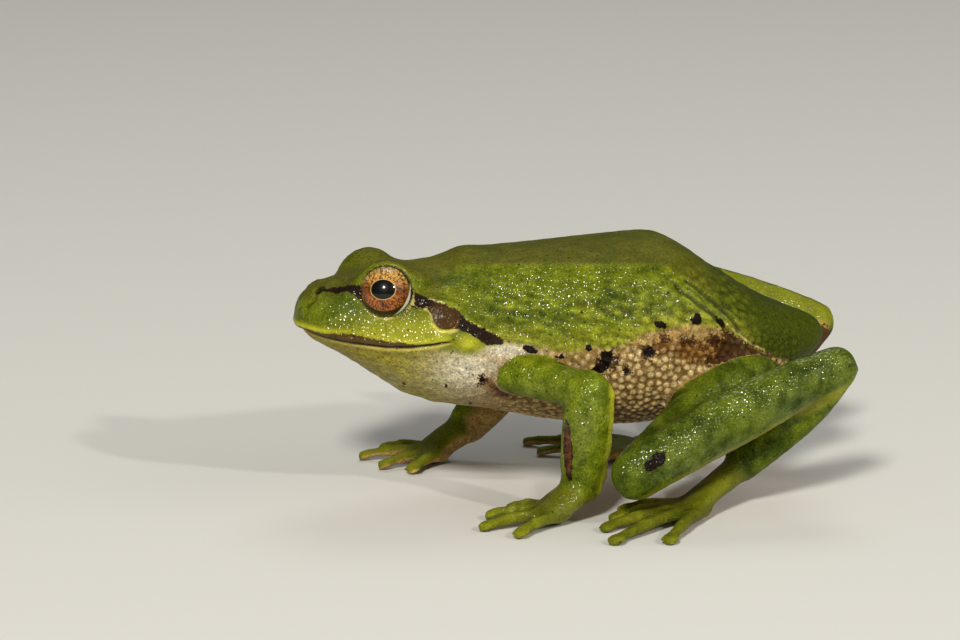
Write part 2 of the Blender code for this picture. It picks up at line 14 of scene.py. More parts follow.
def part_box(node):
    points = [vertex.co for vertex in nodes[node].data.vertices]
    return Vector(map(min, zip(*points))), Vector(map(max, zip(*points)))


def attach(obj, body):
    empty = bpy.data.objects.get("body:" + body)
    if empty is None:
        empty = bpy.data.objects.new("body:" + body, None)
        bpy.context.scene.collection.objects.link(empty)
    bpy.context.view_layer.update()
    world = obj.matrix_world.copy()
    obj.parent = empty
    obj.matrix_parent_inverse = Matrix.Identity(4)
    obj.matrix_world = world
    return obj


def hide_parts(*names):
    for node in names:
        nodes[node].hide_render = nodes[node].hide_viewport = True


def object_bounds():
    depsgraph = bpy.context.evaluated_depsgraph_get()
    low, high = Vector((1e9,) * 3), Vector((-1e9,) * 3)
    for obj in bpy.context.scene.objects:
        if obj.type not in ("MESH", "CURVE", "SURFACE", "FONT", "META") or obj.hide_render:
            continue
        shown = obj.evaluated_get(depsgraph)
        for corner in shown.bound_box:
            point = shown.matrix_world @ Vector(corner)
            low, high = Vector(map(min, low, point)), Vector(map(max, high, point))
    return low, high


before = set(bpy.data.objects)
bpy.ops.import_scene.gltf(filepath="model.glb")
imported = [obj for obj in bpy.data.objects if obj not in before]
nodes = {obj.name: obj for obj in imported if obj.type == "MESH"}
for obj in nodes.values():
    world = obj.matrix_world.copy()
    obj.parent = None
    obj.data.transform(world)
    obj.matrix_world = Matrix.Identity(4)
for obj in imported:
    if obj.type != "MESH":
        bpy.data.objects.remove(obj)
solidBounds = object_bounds()
mm = 0.001

sides = {"left": -1.0, "right": 1.0}
eye = {
    "centre": Vector((-17.75, -4.35, 17.5)),      # the left one, mirrored for the right one
    "turn": Vector((-0.5, 0.0, -0.25)),           # how far the head's turn carries the right one
    "axis": Vector((-0.275, -0.917, 0.286)).normalized(),      # where it looks
    "radius": 2.1,
    "opening": 77.0,      # degrees from the axis to the edge of the lids
    "pupil": (0.95, 0.77),    # half width and half height
}
ear = {
    "centre": Vector((-13.55, -6.35, 15.75)),
    "axis": Vector((-0.10, -0.93, 0.36)).normalized(),
    "radius": 1.04,
    "face": 0.2,       # how far out along its axis the drum's face stands
    "thickness": 0.13,
}
eyeLow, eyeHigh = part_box("eye_left")
offset = (eyeLow + eyeHigh) / 2 / mm - eye["centre"]      # from the frog's own frame to the row's

# the camera, as the photograph was taken: angles in degrees, the rest in pixels and millimetres
photo = {
    "width": 960, "height": 640, "pixelsPerMm": 12.6, "azimuth": -9.5, "elevation": 11.0,
    "centre": (-9.66, 0.0, 14.2), "distance": 300.0, "sensor": 36.0,
}


def mirrored(v, side):      # a place or direction of the left side, on the side asked for
    return Vector((v[0], -v[1] * side, v[2]))


def eyeCentre(side):
    return mirrored(eye["centre"], side) + eye["turn"] * max(0.0, side)


def viewBack(azimuth, elevation):
    a, e = math.radians(azimuth), math.radians(elevation)
    return Vector((math.sin(a) * math.cos(e), -math.cos(a) * math.cos(e), math.sin(e)))


def newObject(name, data):
    obj = bpy.data.objects.new(name, data)
    bpy.context.scene.collection.objects.link(obj)
    return obj


def meshFrom(name, bm):
    mesh = bpy.data.meshes.new(name)
    bm.to_mesh(mesh)
    bm.free()
    return mesh


def aim(obj, towards):
    obj.rotation_mode = "QUATERNION"
    obj.rotation_quaternion = towards.to_track_quat("-Z", "Y")


def makeCamera():
    camera = newObject("camera", bpy.data.cameras.new("camera"))
    back = viewBack(photo["azimuth"], photo["elevation"])
    camera.location = (Vector(photo["centre"]) + offset + back * photo["distance"]) * mm
    aim(camera, -back)
    camera.data.sensor_width = photo["sensor"]
    camera.data.lens = photo["pixelsPerMm"] * photo["sensor"] * photo["distance"] / photo["width"]
    camera.data.clip_start = 0.01
    camera.data.clip_end = 5.0
    bpy.context.scene.camera = camera


def pixels(co):      # where points show in the photograph, those of the right side mirrored to the left
    back = np.array(viewBack(photo["azimuth"], photo["elevation"]))
    a = math.radians(photo["azimuth"])
    right = np.array((math.cos(a), math.sin(a), 0.0))
    up = np.cross(back, right)
    turned = ramp(co[:, 1], 0.5, 3.0) * ramp(-co[:, 0], 13.5, 15.5) * ramp(co[:, 2], 14.5, 16.5)
    co = co - turned[:, None] * np.array(eye["turn"])
    rel = np.column_stack((co[:, 0], -np.abs(co[:, 1]), co[:, 2])) - np.array(photo["centre"])
    scale = photo["pixelsPerMm"] * photo["distance"] / (photo["distance"] - rel @ back)
    return photo["width"] / 2 + scale * (rel @ right), photo["height"] / 2 - scale * (rel @ up)


# ramps and distances over arrays
def ramp(x, low, high):
    t = np.clip((x - low) / (high - low), 0, 1)
    return t * t * (3 - 2 * t)


def bell(x, width):
    return np.exp(-(x / width) ** 2)


def lineGap(px, py, line):      # distance from a bent line
    best = np.full(len(px), 1e9)
    for (x0, y0), (x1, y1) in zip(line, line[1:]):
        dx, dy = x1 - x0, y1 - y0
        t = np.clip(((px - x0) * dx + (py - y0) * dy) / (dx * dx + dy * dy), 0, 1)
        best = np.minimum(best, np.hypot(px - x0 - t * dx, py - y0 - t * dy))
    return best


def areaGap(px, py, outline):      # distance from a closed outline, negative inside
    ring = list(outline) + [outline[0]]
    inside = np.zeros(len(px), bool)
    for (x0, y0), (x1, y1) in zip(ring, ring[1:]):
        if y0 != y1:
            inside ^= ((py < y0) != (py < y1)) & (px < x0 + (x1 - x0) * (py - y0) / (y1 - y0))
    gap = lineGap(px, py, ring)
    return np.where(inside, -gap, gap)


def spotGap(px, py, spot):      # distance from a tilted oval, negative inside
    x, y, half, tall, turn = spot
    c, s = math.cos(math.radians(turn)), math.sin(math.radians(turn))
    u, v = (px - x) * c + (py - y) * s, (py - y) * c - (px - x) * s
    return (np.hypot(u / half, v / tall) - 1) * min(half, tall)


def spots(px, py, places):      # soft ovals: middle, half width, half height and strength
    return np.max([share * bell(np.hypot((px - x) / a, (py - y) / b), 1.0)
                   for x, y, a, b, share in places], axis=0)


# the skin starts as the flesh of all the solids, swollen a little so that their partings close
form = {"swell": 0.2, "voxel": 0.36, "smoothing": 13, "digitSmoothing": 3, "lidEdge": 0.3, "lidSmoothing": 30}


def fleshNames():
    return [n for n in nodes if not n.startswith(("eye_", "eardrum_"))]


def named(*starts):
    return [n for n in nodes if n.startswith(starts)]


def nodeShape(name, swell=0.0):
    bm = bmesh.new()
    bm.from_mesh(nodes[name].data)
    bmesh.ops.remove_doubles(bm, verts=bm.verts, dist=1e-6)
    bmesh.ops.scale(bm, vec=(1 / mm, 1 / mm, 1 / mm), verts=bm.verts)
    bmesh.ops.translate(bm, vec=-offset, verts=bm.verts)
    bm.normal_update()
    moves = [v.normal * swell * min(v.calc_shell_factor(), 1.6) for v in bm.verts]
    for v, move in zip(bm.verts, moves):
        v.co += move
    return bm


def rawSkin():
    joined = bmesh.new()
    for name in fleshNames() + named("eardrum_"):
        part = meshFrom("part", nodeShape(name, form["swell"]))
        joined.from_mesh(part)
        bpy.data.meshes.remove(part)
    for side in sides.values():      # fills the sockets, so that the lids can be drawn over the eyes
        bmesh.ops.create_uvsphere(joined, u_segments=24, v_segments=16, radius=eye["radius"] + 0.5,
                                  matrix=Matrix.Translation(eyeCentre(side)))
    whole = meshFrom("skin_pieces", joined)
    obj = newObject("skin", whole)
    remesh = obj.modifiers.new("one surface", "REMESH")
    remesh.mode = "VOXEL"
    remesh.voxel_size = form["voxel"]
    shaped = bpy.data.meshes.new_from_object(obj.evaluated_get(bpy.context.evaluated_depsgraph_get()))
    obj.modifiers.clear()
    obj.data = shaped
    shaped.name = "skin"
    bpy.data.meshes.remove(whole)
    return obj


def points(mesh):
    co = np.empty(len(mesh.vertices) * 3, np.float32)
    mesh.vertices.foreach_get("co", co)
    return co.reshape(-1, 3).astype(float)


def setPoints(mesh, co):
    mesh.vertices.foreach_set("co", co.astype(np.float32).ravel())
    mesh.update()


def normals(mesh):
    out = np.empty(len(mesh.vertices) * 3, np.float32)
    mesh.vertex_normals.foreach_get("vector", out)
    return out.reshape(-1, 3).astype(float)


def edgeEnds(mesh):
    ends = np.empty(len(mesh.edges) * 2, np.int32)
    mesh.edges.foreach_get("vertices", ends)
    return ends[0::2], ends[1::2]


def spread(values, mesh, amount):      # moves each value towards the mean of its neighbours
    a, b = edgeEnds(mesh)
    count = np.bincount(a, minlength=len(values)) + np.bincount(b, minlength=len(values))
    out = np.empty_like(values)
    for k in range(values.shape[1]):
        mean = (np.bincount(a, values[b, k], len(values)) + np.bincount(b, values[a, k], len(values))) / count
        out[:, k] = values[:, k] + (mean - values[:, k]) * amount
    return out


def smooth(mesh, rounds, weight=None):      # each round shrinks and grows, which keeps the volume
    co = points(mesh)
    w = np.ones(len(co)) if weight is None else weight
    for _ in range(rounds):
        co = spread(co, mesh, 0.5 * w)
        co = spread(co, mesh, -0.53 * w)
    setPoints(mesh, co)


def halve(mesh, chosen):      # splits every face whose corners are all chosen into four
    bm = bmesh.new()
    bm.from_mesh(mesh)
    edges = {e for f in bm.faces if all(chosen[v.index] for v in f.verts) for e in f.edges}
    bmesh.ops.subdivide_edges(bm, edges=list(edges), cuts=1, use_grid_fill=True)
    bm.to_mesh(mesh)
    bm.free()


def longEdged(mesh, limit):      # which points have an edge longer than the limit
    co = points(mesh)
    a, b = edgeEnds(mesh)
    long = np.linalg.norm(co[a] - co[b], axis=1) > limit
    chosen = np.zeros(len(co), bool)
    chosen[a[long]] = chosen[b[long]] = True
    return chosen


def bending(mesh):      # how the skin bends, per millimetre: folds are positive and knobs negative
    co, normal = points(mesh), normals(mesh)
    mean = spread(co, mesh, 1.0)
    square = np.sum(co ** 2, axis=1, keepdims=True)
    span = spread(square, mesh, 1.0)[:, 0] - 2 * np.sum(mean * co, axis=1) + square[:, 0]
    bend = (4 * np.sum((mean - co) * normal, axis=1) / np.maximum(span, 1e-4))[:, None]
    for _ in range(3):
        bend = spread(bend, mesh, 0.5)
    return bend[:, 0]


def gapTo(co, names):      # distance of each point from the named solids
    verts, faces = [], []
    for name in names:
        bm = nodeShape(name)
        start = len(verts)
        verts += [v.co.copy() for v in bm.verts]
        faces += [[start + v.index for v in f.verts] for f in bm.faces]
        bm.free()
    tree = BVHTree.FromPolygons(verts, faces)
    return np.array([tree.find_nearest(Vector(p))[3] for p in co])


trunkNames = ["head", "lower_jaw", "torso"]
limbNames = [n for n in fleshNames() if n not in trunkNames]
legNames = named("thigh", "shank", "tarsus", "foot", "toe")
armNames = named("upper_arm", "forearm", "hand", "finger")
digitNames = named("finger", "toe")
mouthLine = ((-26.0, 14.25), (-23.8, 14.1), (-22.4, 13.8), (-20.4, 13.6), (-18.0, 13.43), (-16.3, 13.45),
             (-14.5, 13.68), (-13.1, 13.95))


def overMouth(co):      # height above the slit of the mouth
    return co[:, 2] - np.interp(co[:, 0], *zip(*mouthLine))


def lidAngle(co, side):      # degrees from the edge of the lids, negative over the open eye
    rel = co - np.array(eyeCentre(side))
    gap = np.linalg.norm(rel, axis=1)
    angle = np.degrees(np.arccos(np.clip(rel @ np.array(mirrored(eye["axis"], side)) / gap, -1, 1)))
    return rel, gap, angle - eye["opening"]


def gapToEyes(co):      # distance from the middle of the nearer eyeball
    return np.min([lidAngle(co, s)[1] for s in sides.values()], axis=0)


def limbShare(co):
    return ramp(gapTo(co, trunkNames) - gapTo(co, limbNames), -0.1, 0.6)


skin = rawSkin()
smooth(skin.data, 3)
setPoints(skin.data, points(skin.data) - normals(skin.data) * form["swell"])
onDigit = ramp(-gapTo(points(skin.data), digitNames), -0.6, -0.1)
smooth(skin.data, form["digitSmoothing"])
smooth(skin.data, form["smoothing"] - form["digitSmoothing"], 1 - onDigit)
# finer faces on the head, the near flank and the digits, then finest at the lids, lips and beads
co = points(skin.data)
px, py = pixels(co)
near = co[:, 1] < 0.6
flankBand = near & ((co[:, 0] < -10.2) | ((py > 258) & (py < 428)))
farFace = (lidAngle(co, sides["right"])[1] < 3.2) | ((np.abs(overMouth(co)) < 0.6) & (co[:, 0] < -12.5))
halve(skin.data, ((limbShare(co) < 0.5) & (flankBand | farFace)) | (near & (gapTo(co, digitNames) < 0.25)))
smooth(skin.data, 3)
co = points(skin.data)
px, py = pixels(co)
rel, gap, t = lidAngle(co, sides["left"])
lids = (gap < 3.1) & (t > -9) & (t < 26)
lips = (np.abs(overMouth(co)) < 0.45) & (co[:, 0] < -12.8)
beads = (normals(skin.data)[:, 1] < -0.2) & (co[:, 0] > -1.5) & (py > 338) & (py < 425)
halve(skin.data, (co[:, 1] < 0.6) & (lids | lips | (beads & (limbShare(co) < 0.5))))
smooth(skin.data, 2)
print("skin of", len(skin.data.polygons), "faces")

# lids, lips, nostrils, ear rims and folds are drawn in the skin
face = {
    "lidEdge": 0.03, "lidThickness": 0.24, "lidGroove": 0.14,          # over and under the eyeball
    "mouthDepth": 0.22, "mouthWidth": 0.12, "lipFullness": 0.08,
    "nostril": Vector((-22.7, -1.7, 17.2)), "nostrilWidth": 0.3, "nostrilDepth": 0.6,
    "nostrilRim": 0.08, "noseFold": 0.07, "earRim": 0.10, "earRecess": 0.2,
}
relief = {
    "ridge": 0.18, "earFold": 0.14, "cheekFold": 0.12, "fold": 0.2, "foldRidge": 0.10, "throat": 0.09,
    "rump": 0.5, "wrinkle": 0.23, "wrinkleSlope": 12.0,
    "lump": 0.15, "lumpSpacing": 0.75, "bead": 0.12, "beadSpacing": 0.5, "grain": 0.03, "serration": 0.16,
}
# lines, outlines and spots are in pixels of the photograph where nothing else is said
foldLines = [
    [(672, 282), (681, 291), (695, 301), (713, 315), (725, 329), (735, 340)],
    [(686, 281), (700, 290), (719, 306), (731, 318), (740, 331)],
]
backRidge = [(415, 275), (460, 268), (520, 266), (580, 266), (640, 266), (668, 268)]
earFold = [(410, 291), (424, 297), (444, 304), (459, 311), (470, 322), (484, 329), (500, 337)]
cheekFold = [(352, 302), (360, 314), (374, 322), (390, 324), (406, 319), (416, 308)]
noseLine = [(318, 293), (316, 298), (313.5, 302), (308, 307)]
swellings = [(468, 344, 12, 9, 0.35), (466, 252, 20, 12, 0.35)]      # behind the mouth and at the shoulder
# the two ends of each forearm and shank, in millimetres
forearms = {
    "left": ((-2.85, -10.9, 10.4), (-3.4, -10.3, 2.6)),
    "right": ((-3.7, 11.6, 8.6), (-9.2, 11.7, 2.7)),
}
shanks = {
    "left": ((0.0, -13.9, 4.45), (17.0, -10.3, 11.7)),
    "right": ((2.8, 13.4, 15.3), (20.4, 9.6, 11.3)),
}


def edgeAlong(co, line, out):      # 1 along the edge of a limb that faces outwards
    start, end = (np.array(p) for p in line)
    axis = end - start
    t = (co - start) @ axis / (axis @ axis)
    rel = co - start - np.clip(t, 0, 1)[:, None] * axis
    gap = np.linalg.norm(rel, axis=1)
    facing = rel @ (np.array(out) / np.linalg.norm(out)) / np.maximum(gap, 1e-6)
    return ramp(facing, 0.86, 0.97) * (1 - ramp(gap, 2.2, 2.6))


def domes(co, chosen, spacing, lowest):      # evenly spread rounds, up to 1 in the middle and 0 between them
    cells, centres = {}, []
    chance = np.random.default_rng(7)
    for k in chance.permutation(np.flatnonzero(chosen)):
        cell = [int(v // spacing) for v in co[k]]
        around = product(*((v - 1, v, v + 1) for v in cell))
        if all((co[k] - p) @ (co[k] - p) > spacing ** 2 for c in around for p in cells.get(c, ())):
            cells.setdefault(tuple(cell), []).append(co[k])
            centres.append(co[k])
    tree = KDTree(len(centres))
    for k, centre in enumerate(centres):
        tree.insert(centre, k)
    tree.balance()
    tall = chance.uniform(lowest, 1, len(centres))
    out = np.zeros(len(co))
    for k in np.flatnonzero(chosen):
        centre, index, gap = tree.find(co[k])
        out[k] = tall[index] * max(0.0, 1 - (gap / (0.66 * spacing)) ** 2)
    return out


def sculptLids(co):
    for side in sides.values():
        rel, gap, t = lidAngle(co, side)
        rise = np.sqrt(np.clip(1 - (1 - np.clip(t / 9, 0, 1)) ** 2, 0, 1))
        edge = eye["radius"] + face["lidEdge"] + face["lidThickness"] * rise
        target = np.where(t < 0, eye["radius"] - 0.3, edge)
        far = ramp(t, 3, 9) * ramp(gap - edge, 0.25, 0.7)
        weight = (1 - ramp(t, 5, 24)) * (1 - far) * (gap < 4.0)
        co = co + rel / gap[:, None] * ((target - gap) * weight)[:, None]
    return co


def nostrilGap(co, side):      # distance from the skin's point nearest to the nostril
    gap = np.linalg.norm(co - np.array(mirrored(face["nostril"], side)), axis=1)
    return np.linalg.norm(co - co[gap.argmin()], axis=1)


def sculptFace(co, normal):
    height = overMouth(co)
    along = ramp(-co[:, 0], 13.0, 14.2)
    lift = -face["mouthDepth"] * bell(height, face["mouthWidth"])
    lift += face["lipFullness"] * (bell(height - 0.5, 0.3) + 0.5 * bell(height + 0.35, 0.2))
    lift *= along
    px, py = pixels(co)
    lift -= face["noseFold"] * bell(lineGap(px, py, noseLine), 1.6)
    for side in sides.values():
        rel, gap, t = lidAngle(co, side)
        under = ramp(-rel[:, 2], 0.2, 1.3) * (1 - ramp(gap, 2.9, 3.6))
        lift -= face["lidGroove"] * under * bell(t - 11, 4)
        nostril = nostrilGap(co, side)
        lift += face["nostrilRim"] * bell(nostril - 0.45, 0.2)
        lift -= face["nostrilDepth"] * bell(nostril, face["nostrilWidth"])
        rel = co - np.array(mirrored(ear["centre"], side))
        axis = np.array(mirrored(ear["axis"], side))
        out = rel @ axis
        ring = np.linalg.norm(rel - out[:, None] * axis, axis=1)
        rim = face["earRim"] * bell(ring - ear["radius"] - 0.14, 0.16)
        recess = face["earRecess"] * ramp(ear["radius"] - ring, -0.02, 0.14)
        lift += (rim - recess) * (out > -1.5)
    return co + normal * lift[:, None]


def sculptFolds(co, normal, limb):
    px, py = pixels(co)
    trunk = 1 - limb
    ridge = bell(lineGap(px, py, backRidge), 5.0) * (0.4 + 0.6 * ramp(px, 430, 520))
    lift = (relief["ridge"] * ridge + relief["earFold"] * bell(lineGap(px, py, earFold), 4.0)) * trunk
    lift += relief["cheekFold"] * bell(lineGap(px, py, cheekFold), 3.5) * trunk
    foldRidge = [(x - 6, y + 5) for x, y in foldLines[0]]
    lift += relief["foldRidge"] * bell(lineGap(px, py, foldRidge), 3.5) * trunk
    lift += spots(px, py, swellings) * trunk
    lift += relief["rump"] * bell(np.hypot((px - 800) / 36, (py - 316) / 18), 1.0) * ramp(-co[:, 1], 0.0, 2.5)
    for line in foldLines:
        lift -= relief["fold"] * bell(lineGap(px, py, line), 1.6) * trunk
    body = ramp(co[:, 0], -13, -8) * (1 - ramp(co[:, 0], 9, 13)) * trunk
    flank = body * np.clip(1.4 - np.abs(co[:, 2] - 15.2) / 3.2, 0, 1)
    belly = ramp(co[:, 0], -12, -6) * (1 - ramp(co[:, 0], 14, 16)) * trunk * ramp(-co[:, 2], -15.0, -13.0)
    fine = np.where(co[:, 1] < 0.6, 1.0, 0.4)      # the far side has wider faces, so less relief
    lumps = domes(co, flank * fine > 0.25, relief["lumpSpacing"], 0.2)
    beads = domes(co, belly > 0.05, relief["beadSpacing"], 0.75)
    lumpShare = flank * (0.35 + 0.65 * ramp(co[:, 0], -3, 3)) * (1 - 0.8 * ramp(co[:, 0], 5, 8)) * fine
    lift += relief["lump"] * lumpShare * (lumps - 0.4) * (1 - belly)
    lift += relief["bead"] * belly * fine * (beads - 0.4)
    slope = math.radians(relief["wrinkleSlope"])
    throat = ramp(-co[:, 0], 9, 13) * ramp(-overMouth(co), 0.3, 1.0) * trunk * fine
    for k, (x, y, z) in enumerate(co):
        if throat[k] > 0:
            lift[k] += throat[k] * relief["throat"] * noise.noise((x / 1.3, y / 1.3, z / 0.55))
        if flank[k] > 0:      # long shallow wrinkles that rise towards the rear
            u, v = x * math.cos(slope) - z * math.sin(slope), x * math.sin(slope) + z * math.cos(slope)
            wave = noise.noise((u / 3.0, y / 2.6, v / 0.7)) + 0.7 * noise.noise((u / 1.2, y / 1.0, v / 0.42))
            lift[k] += flank[k] * relief["wrinkle"] * wave
        lift[k] += relief["grain"] * noise.noise(co[k] / 0.75)
    for name, s in sides.items():      # small knobs along the rear edge of each forearm
        edge = edgeAlong(co, forearms[name], (0.97, 0.2 * s, 0.0)) * limb
        for k in np.flatnonzero(edge > 0.05):
            lift[k] += relief["serration"] * edge[k] * max(0.0, noise.noise(co[k] / 0.42) + 0.25)
    return co + normal * lift[:, None], flank, belly, np.maximum(lumps * (1 - belly), beads * belly)


setPoints(skin.data, sculptLids(points(skin.data)))
for _ in range(2):      # the skin drawn in around the eyes gets more faces
    halve(skin.data, longEdged(skin.data, form["lidEdge"]) & (gapToEyes(points(skin.data)) < 4.8))
co = points(skin.data)
eyeGap = gapToEyes(co)
loose = ramp(eyeGap, 2.4, 2.7) * (1 - ramp(eyeGap, 3.9, 4.8))
for ends in shanks.values():      # the heels are round too
    loose = np.maximum(loose, 0.5 * bell(np.linalg.norm(co - np.array(ends[1]), axis=1), 2.4))
for _ in range(form["lidSmoothing"]):
    co = spread(co, skin.data, 0.6 * loose)
setPoints(skin.data, co)
print("skin of", len(skin.data.polygons), "faces after the lids")
co = points(skin.data)
limb = limbShare(co)
smoothNormals = normals(skin.data)
co, flank, belly, pebbles = sculptFolds(co, smoothNormals, limb)
setPoints(skin.data, sculptFace(co, smoothNormals))
print("folds, lids and mouth drawn")

# markings, and the painted shade in the groin, are kept on the skin as distances in millimetres, negative
# inside, which the shader makes ragged
nostrilStripe = [(322, 290), (328, 288), (341, 287), (349, 284.5), (363, 286), (366, 300), (362, 303),
                 (357, 297), (349, 291), (338, 293), (328, 292.5)]
earStripe = [(405, 290), (412, 290.6), (418, 294), (428, 298), (444, 303.5), (458, 310), (466, 319.5),
             (482, 327.5), (498, 335.5), (507, 343.5), (496, 345), (487, 345), (479, 340), (466, 332),
             (456, 329), (449, 329.5), (441, 329), (434.5, 321.5), (433.5, 314.5), (427, 308), (418, 309),
             (410, 306)]
blotches = [
    [(601, 351), (612, 351), (612, 360), (609, 368), (604, 373), (594, 374), (591, 369), (596, 364),
     (600, 362)],
    [(698, 312), (702, 318), (701, 324), (693, 325), (689, 320), (693, 316)],
    [(716, 316), (723, 320), (726, 327), (721, 327), (717, 322)],
    [(654, 322), (661, 320), (667, 324), (666, 329), (660, 328), (656, 327)],
    [(586, 345), (591, 344), (592, 350), (587, 352), (585, 348)],
    [(521, 344), (530, 346), (538, 349), (537, 354), (529, 353), (522, 349)],
    [(554, 356), (563, 354), (565, 359), (559, 360)],
    [(643, 350), (650, 347), (655, 352), (650, 358), (644, 356)],
]
dots = [(404, 384, 1.9), (446, 386, 1.9), (471, 403, 1.6), (482, 379, 3.0), (626, 371, 2.2), (767, 298, 3.0),
        (582, 312, 1.2), (778, 303, 1.5)]
brownSpots = [(648, 353, 8, 8, 0), (689, 341, 7, 5, 0), (714, 341, 7, 6, 0), (664, 338, 6, 4, 0),
              (627, 371, 5, 4, 0), (711, 362, 4, 8, -30), (608, 362, 10, 9, 0), (482, 379, 6, 5, 0),
              (505, 393, 9, 3, 35), (721, 353, 7, 9, 0)]
kneeSpot = (656, 461, 13, 7, -38)
armStreak = (568, 451, 4.4, 31, -3)
rustSpots = [(496, 386, 17, 9, 32), (717, 353, 14, 17, 0), (692, 351, 20, 12, 0), (664, 346, 13, 8, 0)]
tealSpots = [(350, 303, 24, 14, 1.0), (322, 303, 18, 12, 0.5), (352, 270, 18, 10, 0.4)]
# the last spot is painted light: it lightens the top of the neck, which the lamps leave in shade
yellowSpotsAndNeckLight = [(468, 343, 14, 10, 0.72), (412, 330, 40, 15, 0.62), (440, 266, 30, 12, 0.14)]
whiteSpots = [(506, 350, 28, 8, 1.0), (470, 370, 36, 22, 0.85)]
# groin: painted shade in the hollow between flank and thigh
groinShadeArea = [(731, 331), (744, 338), (764, 350), (766, 358), (745, 366), (722, 378), (718, 366), (728, 346)]
groinLine = [(727, 324), (738, 334), (751, 344), (764, 350)]
backArea = [(415, 275), (460, 268), (520, 266), (580, 266), (640, 266), (668, 268), (690, 283), (706, 294),
            (722, 307), (734, 320), (742, 334), (765, 347), (830, 350), (900, 300), (900, 150), (415, 150)]
wetSpots = [(570, 295, 130, 40, 0.68), (690, 306, 52, 32, 0.8), (508, 350, 34, 10, 1.0),
            (404, 332, 60, 18, 1.0), (350, 310, 44, 26, 1.0), (448, 292, 40, 18, 0.5),
            (650, 380, 60, 40, 0.8), (440, 370, 70, 30, 0.8)]
wetLimbSpots = [(822, 362, 40, 30, 1.0), (745, 395, 80, 30, 1.0), (672, 447, 70, 36, 1.0),
                (560, 376, 46, 20, 1.0), (586, 425, 26, 50, 0.9), (550, 505, 40, 16, 0.9)]
greenEdge = [(285, 330), (300, 331), (330, 338), (357, 343), (389, 346), (418, 345), (443, 350), (470, 353),
             (480, 350), (488, 346), (504, 341), (530, 346), (564, 351), (573, 352), (592, 347), (611, 349),
             (629, 343), (639, 336), (657, 330), (676, 326), (695, 324), (713, 326), (728, 330), (740, 337),
             (765, 352), (800, 366), (840, 375)]
earRimLine = [(420, 309), (427, 309.5), (431, 315), (432, 323), (439, 331.5), (450, 332.5), (458, 330)]
# how far the shade reaches over the mouth, in millimetres along the jaw
lipShade = ((-24.4, 0.3), (-23.2, 0.37), (-22.2, 0.55), (-20.4, 0.8), (-19.2, 0.66), (-18.0, 0.53),
            (-17.0, 0.48), (-16.0, 0.25), (-14.6, 0.05))


def paint(name, values):
    layer = skin.data.attributes.new(name, "FLOAT", "POINT")
    layer.data.foreach_set("value", np.asarray(values, np.float32))


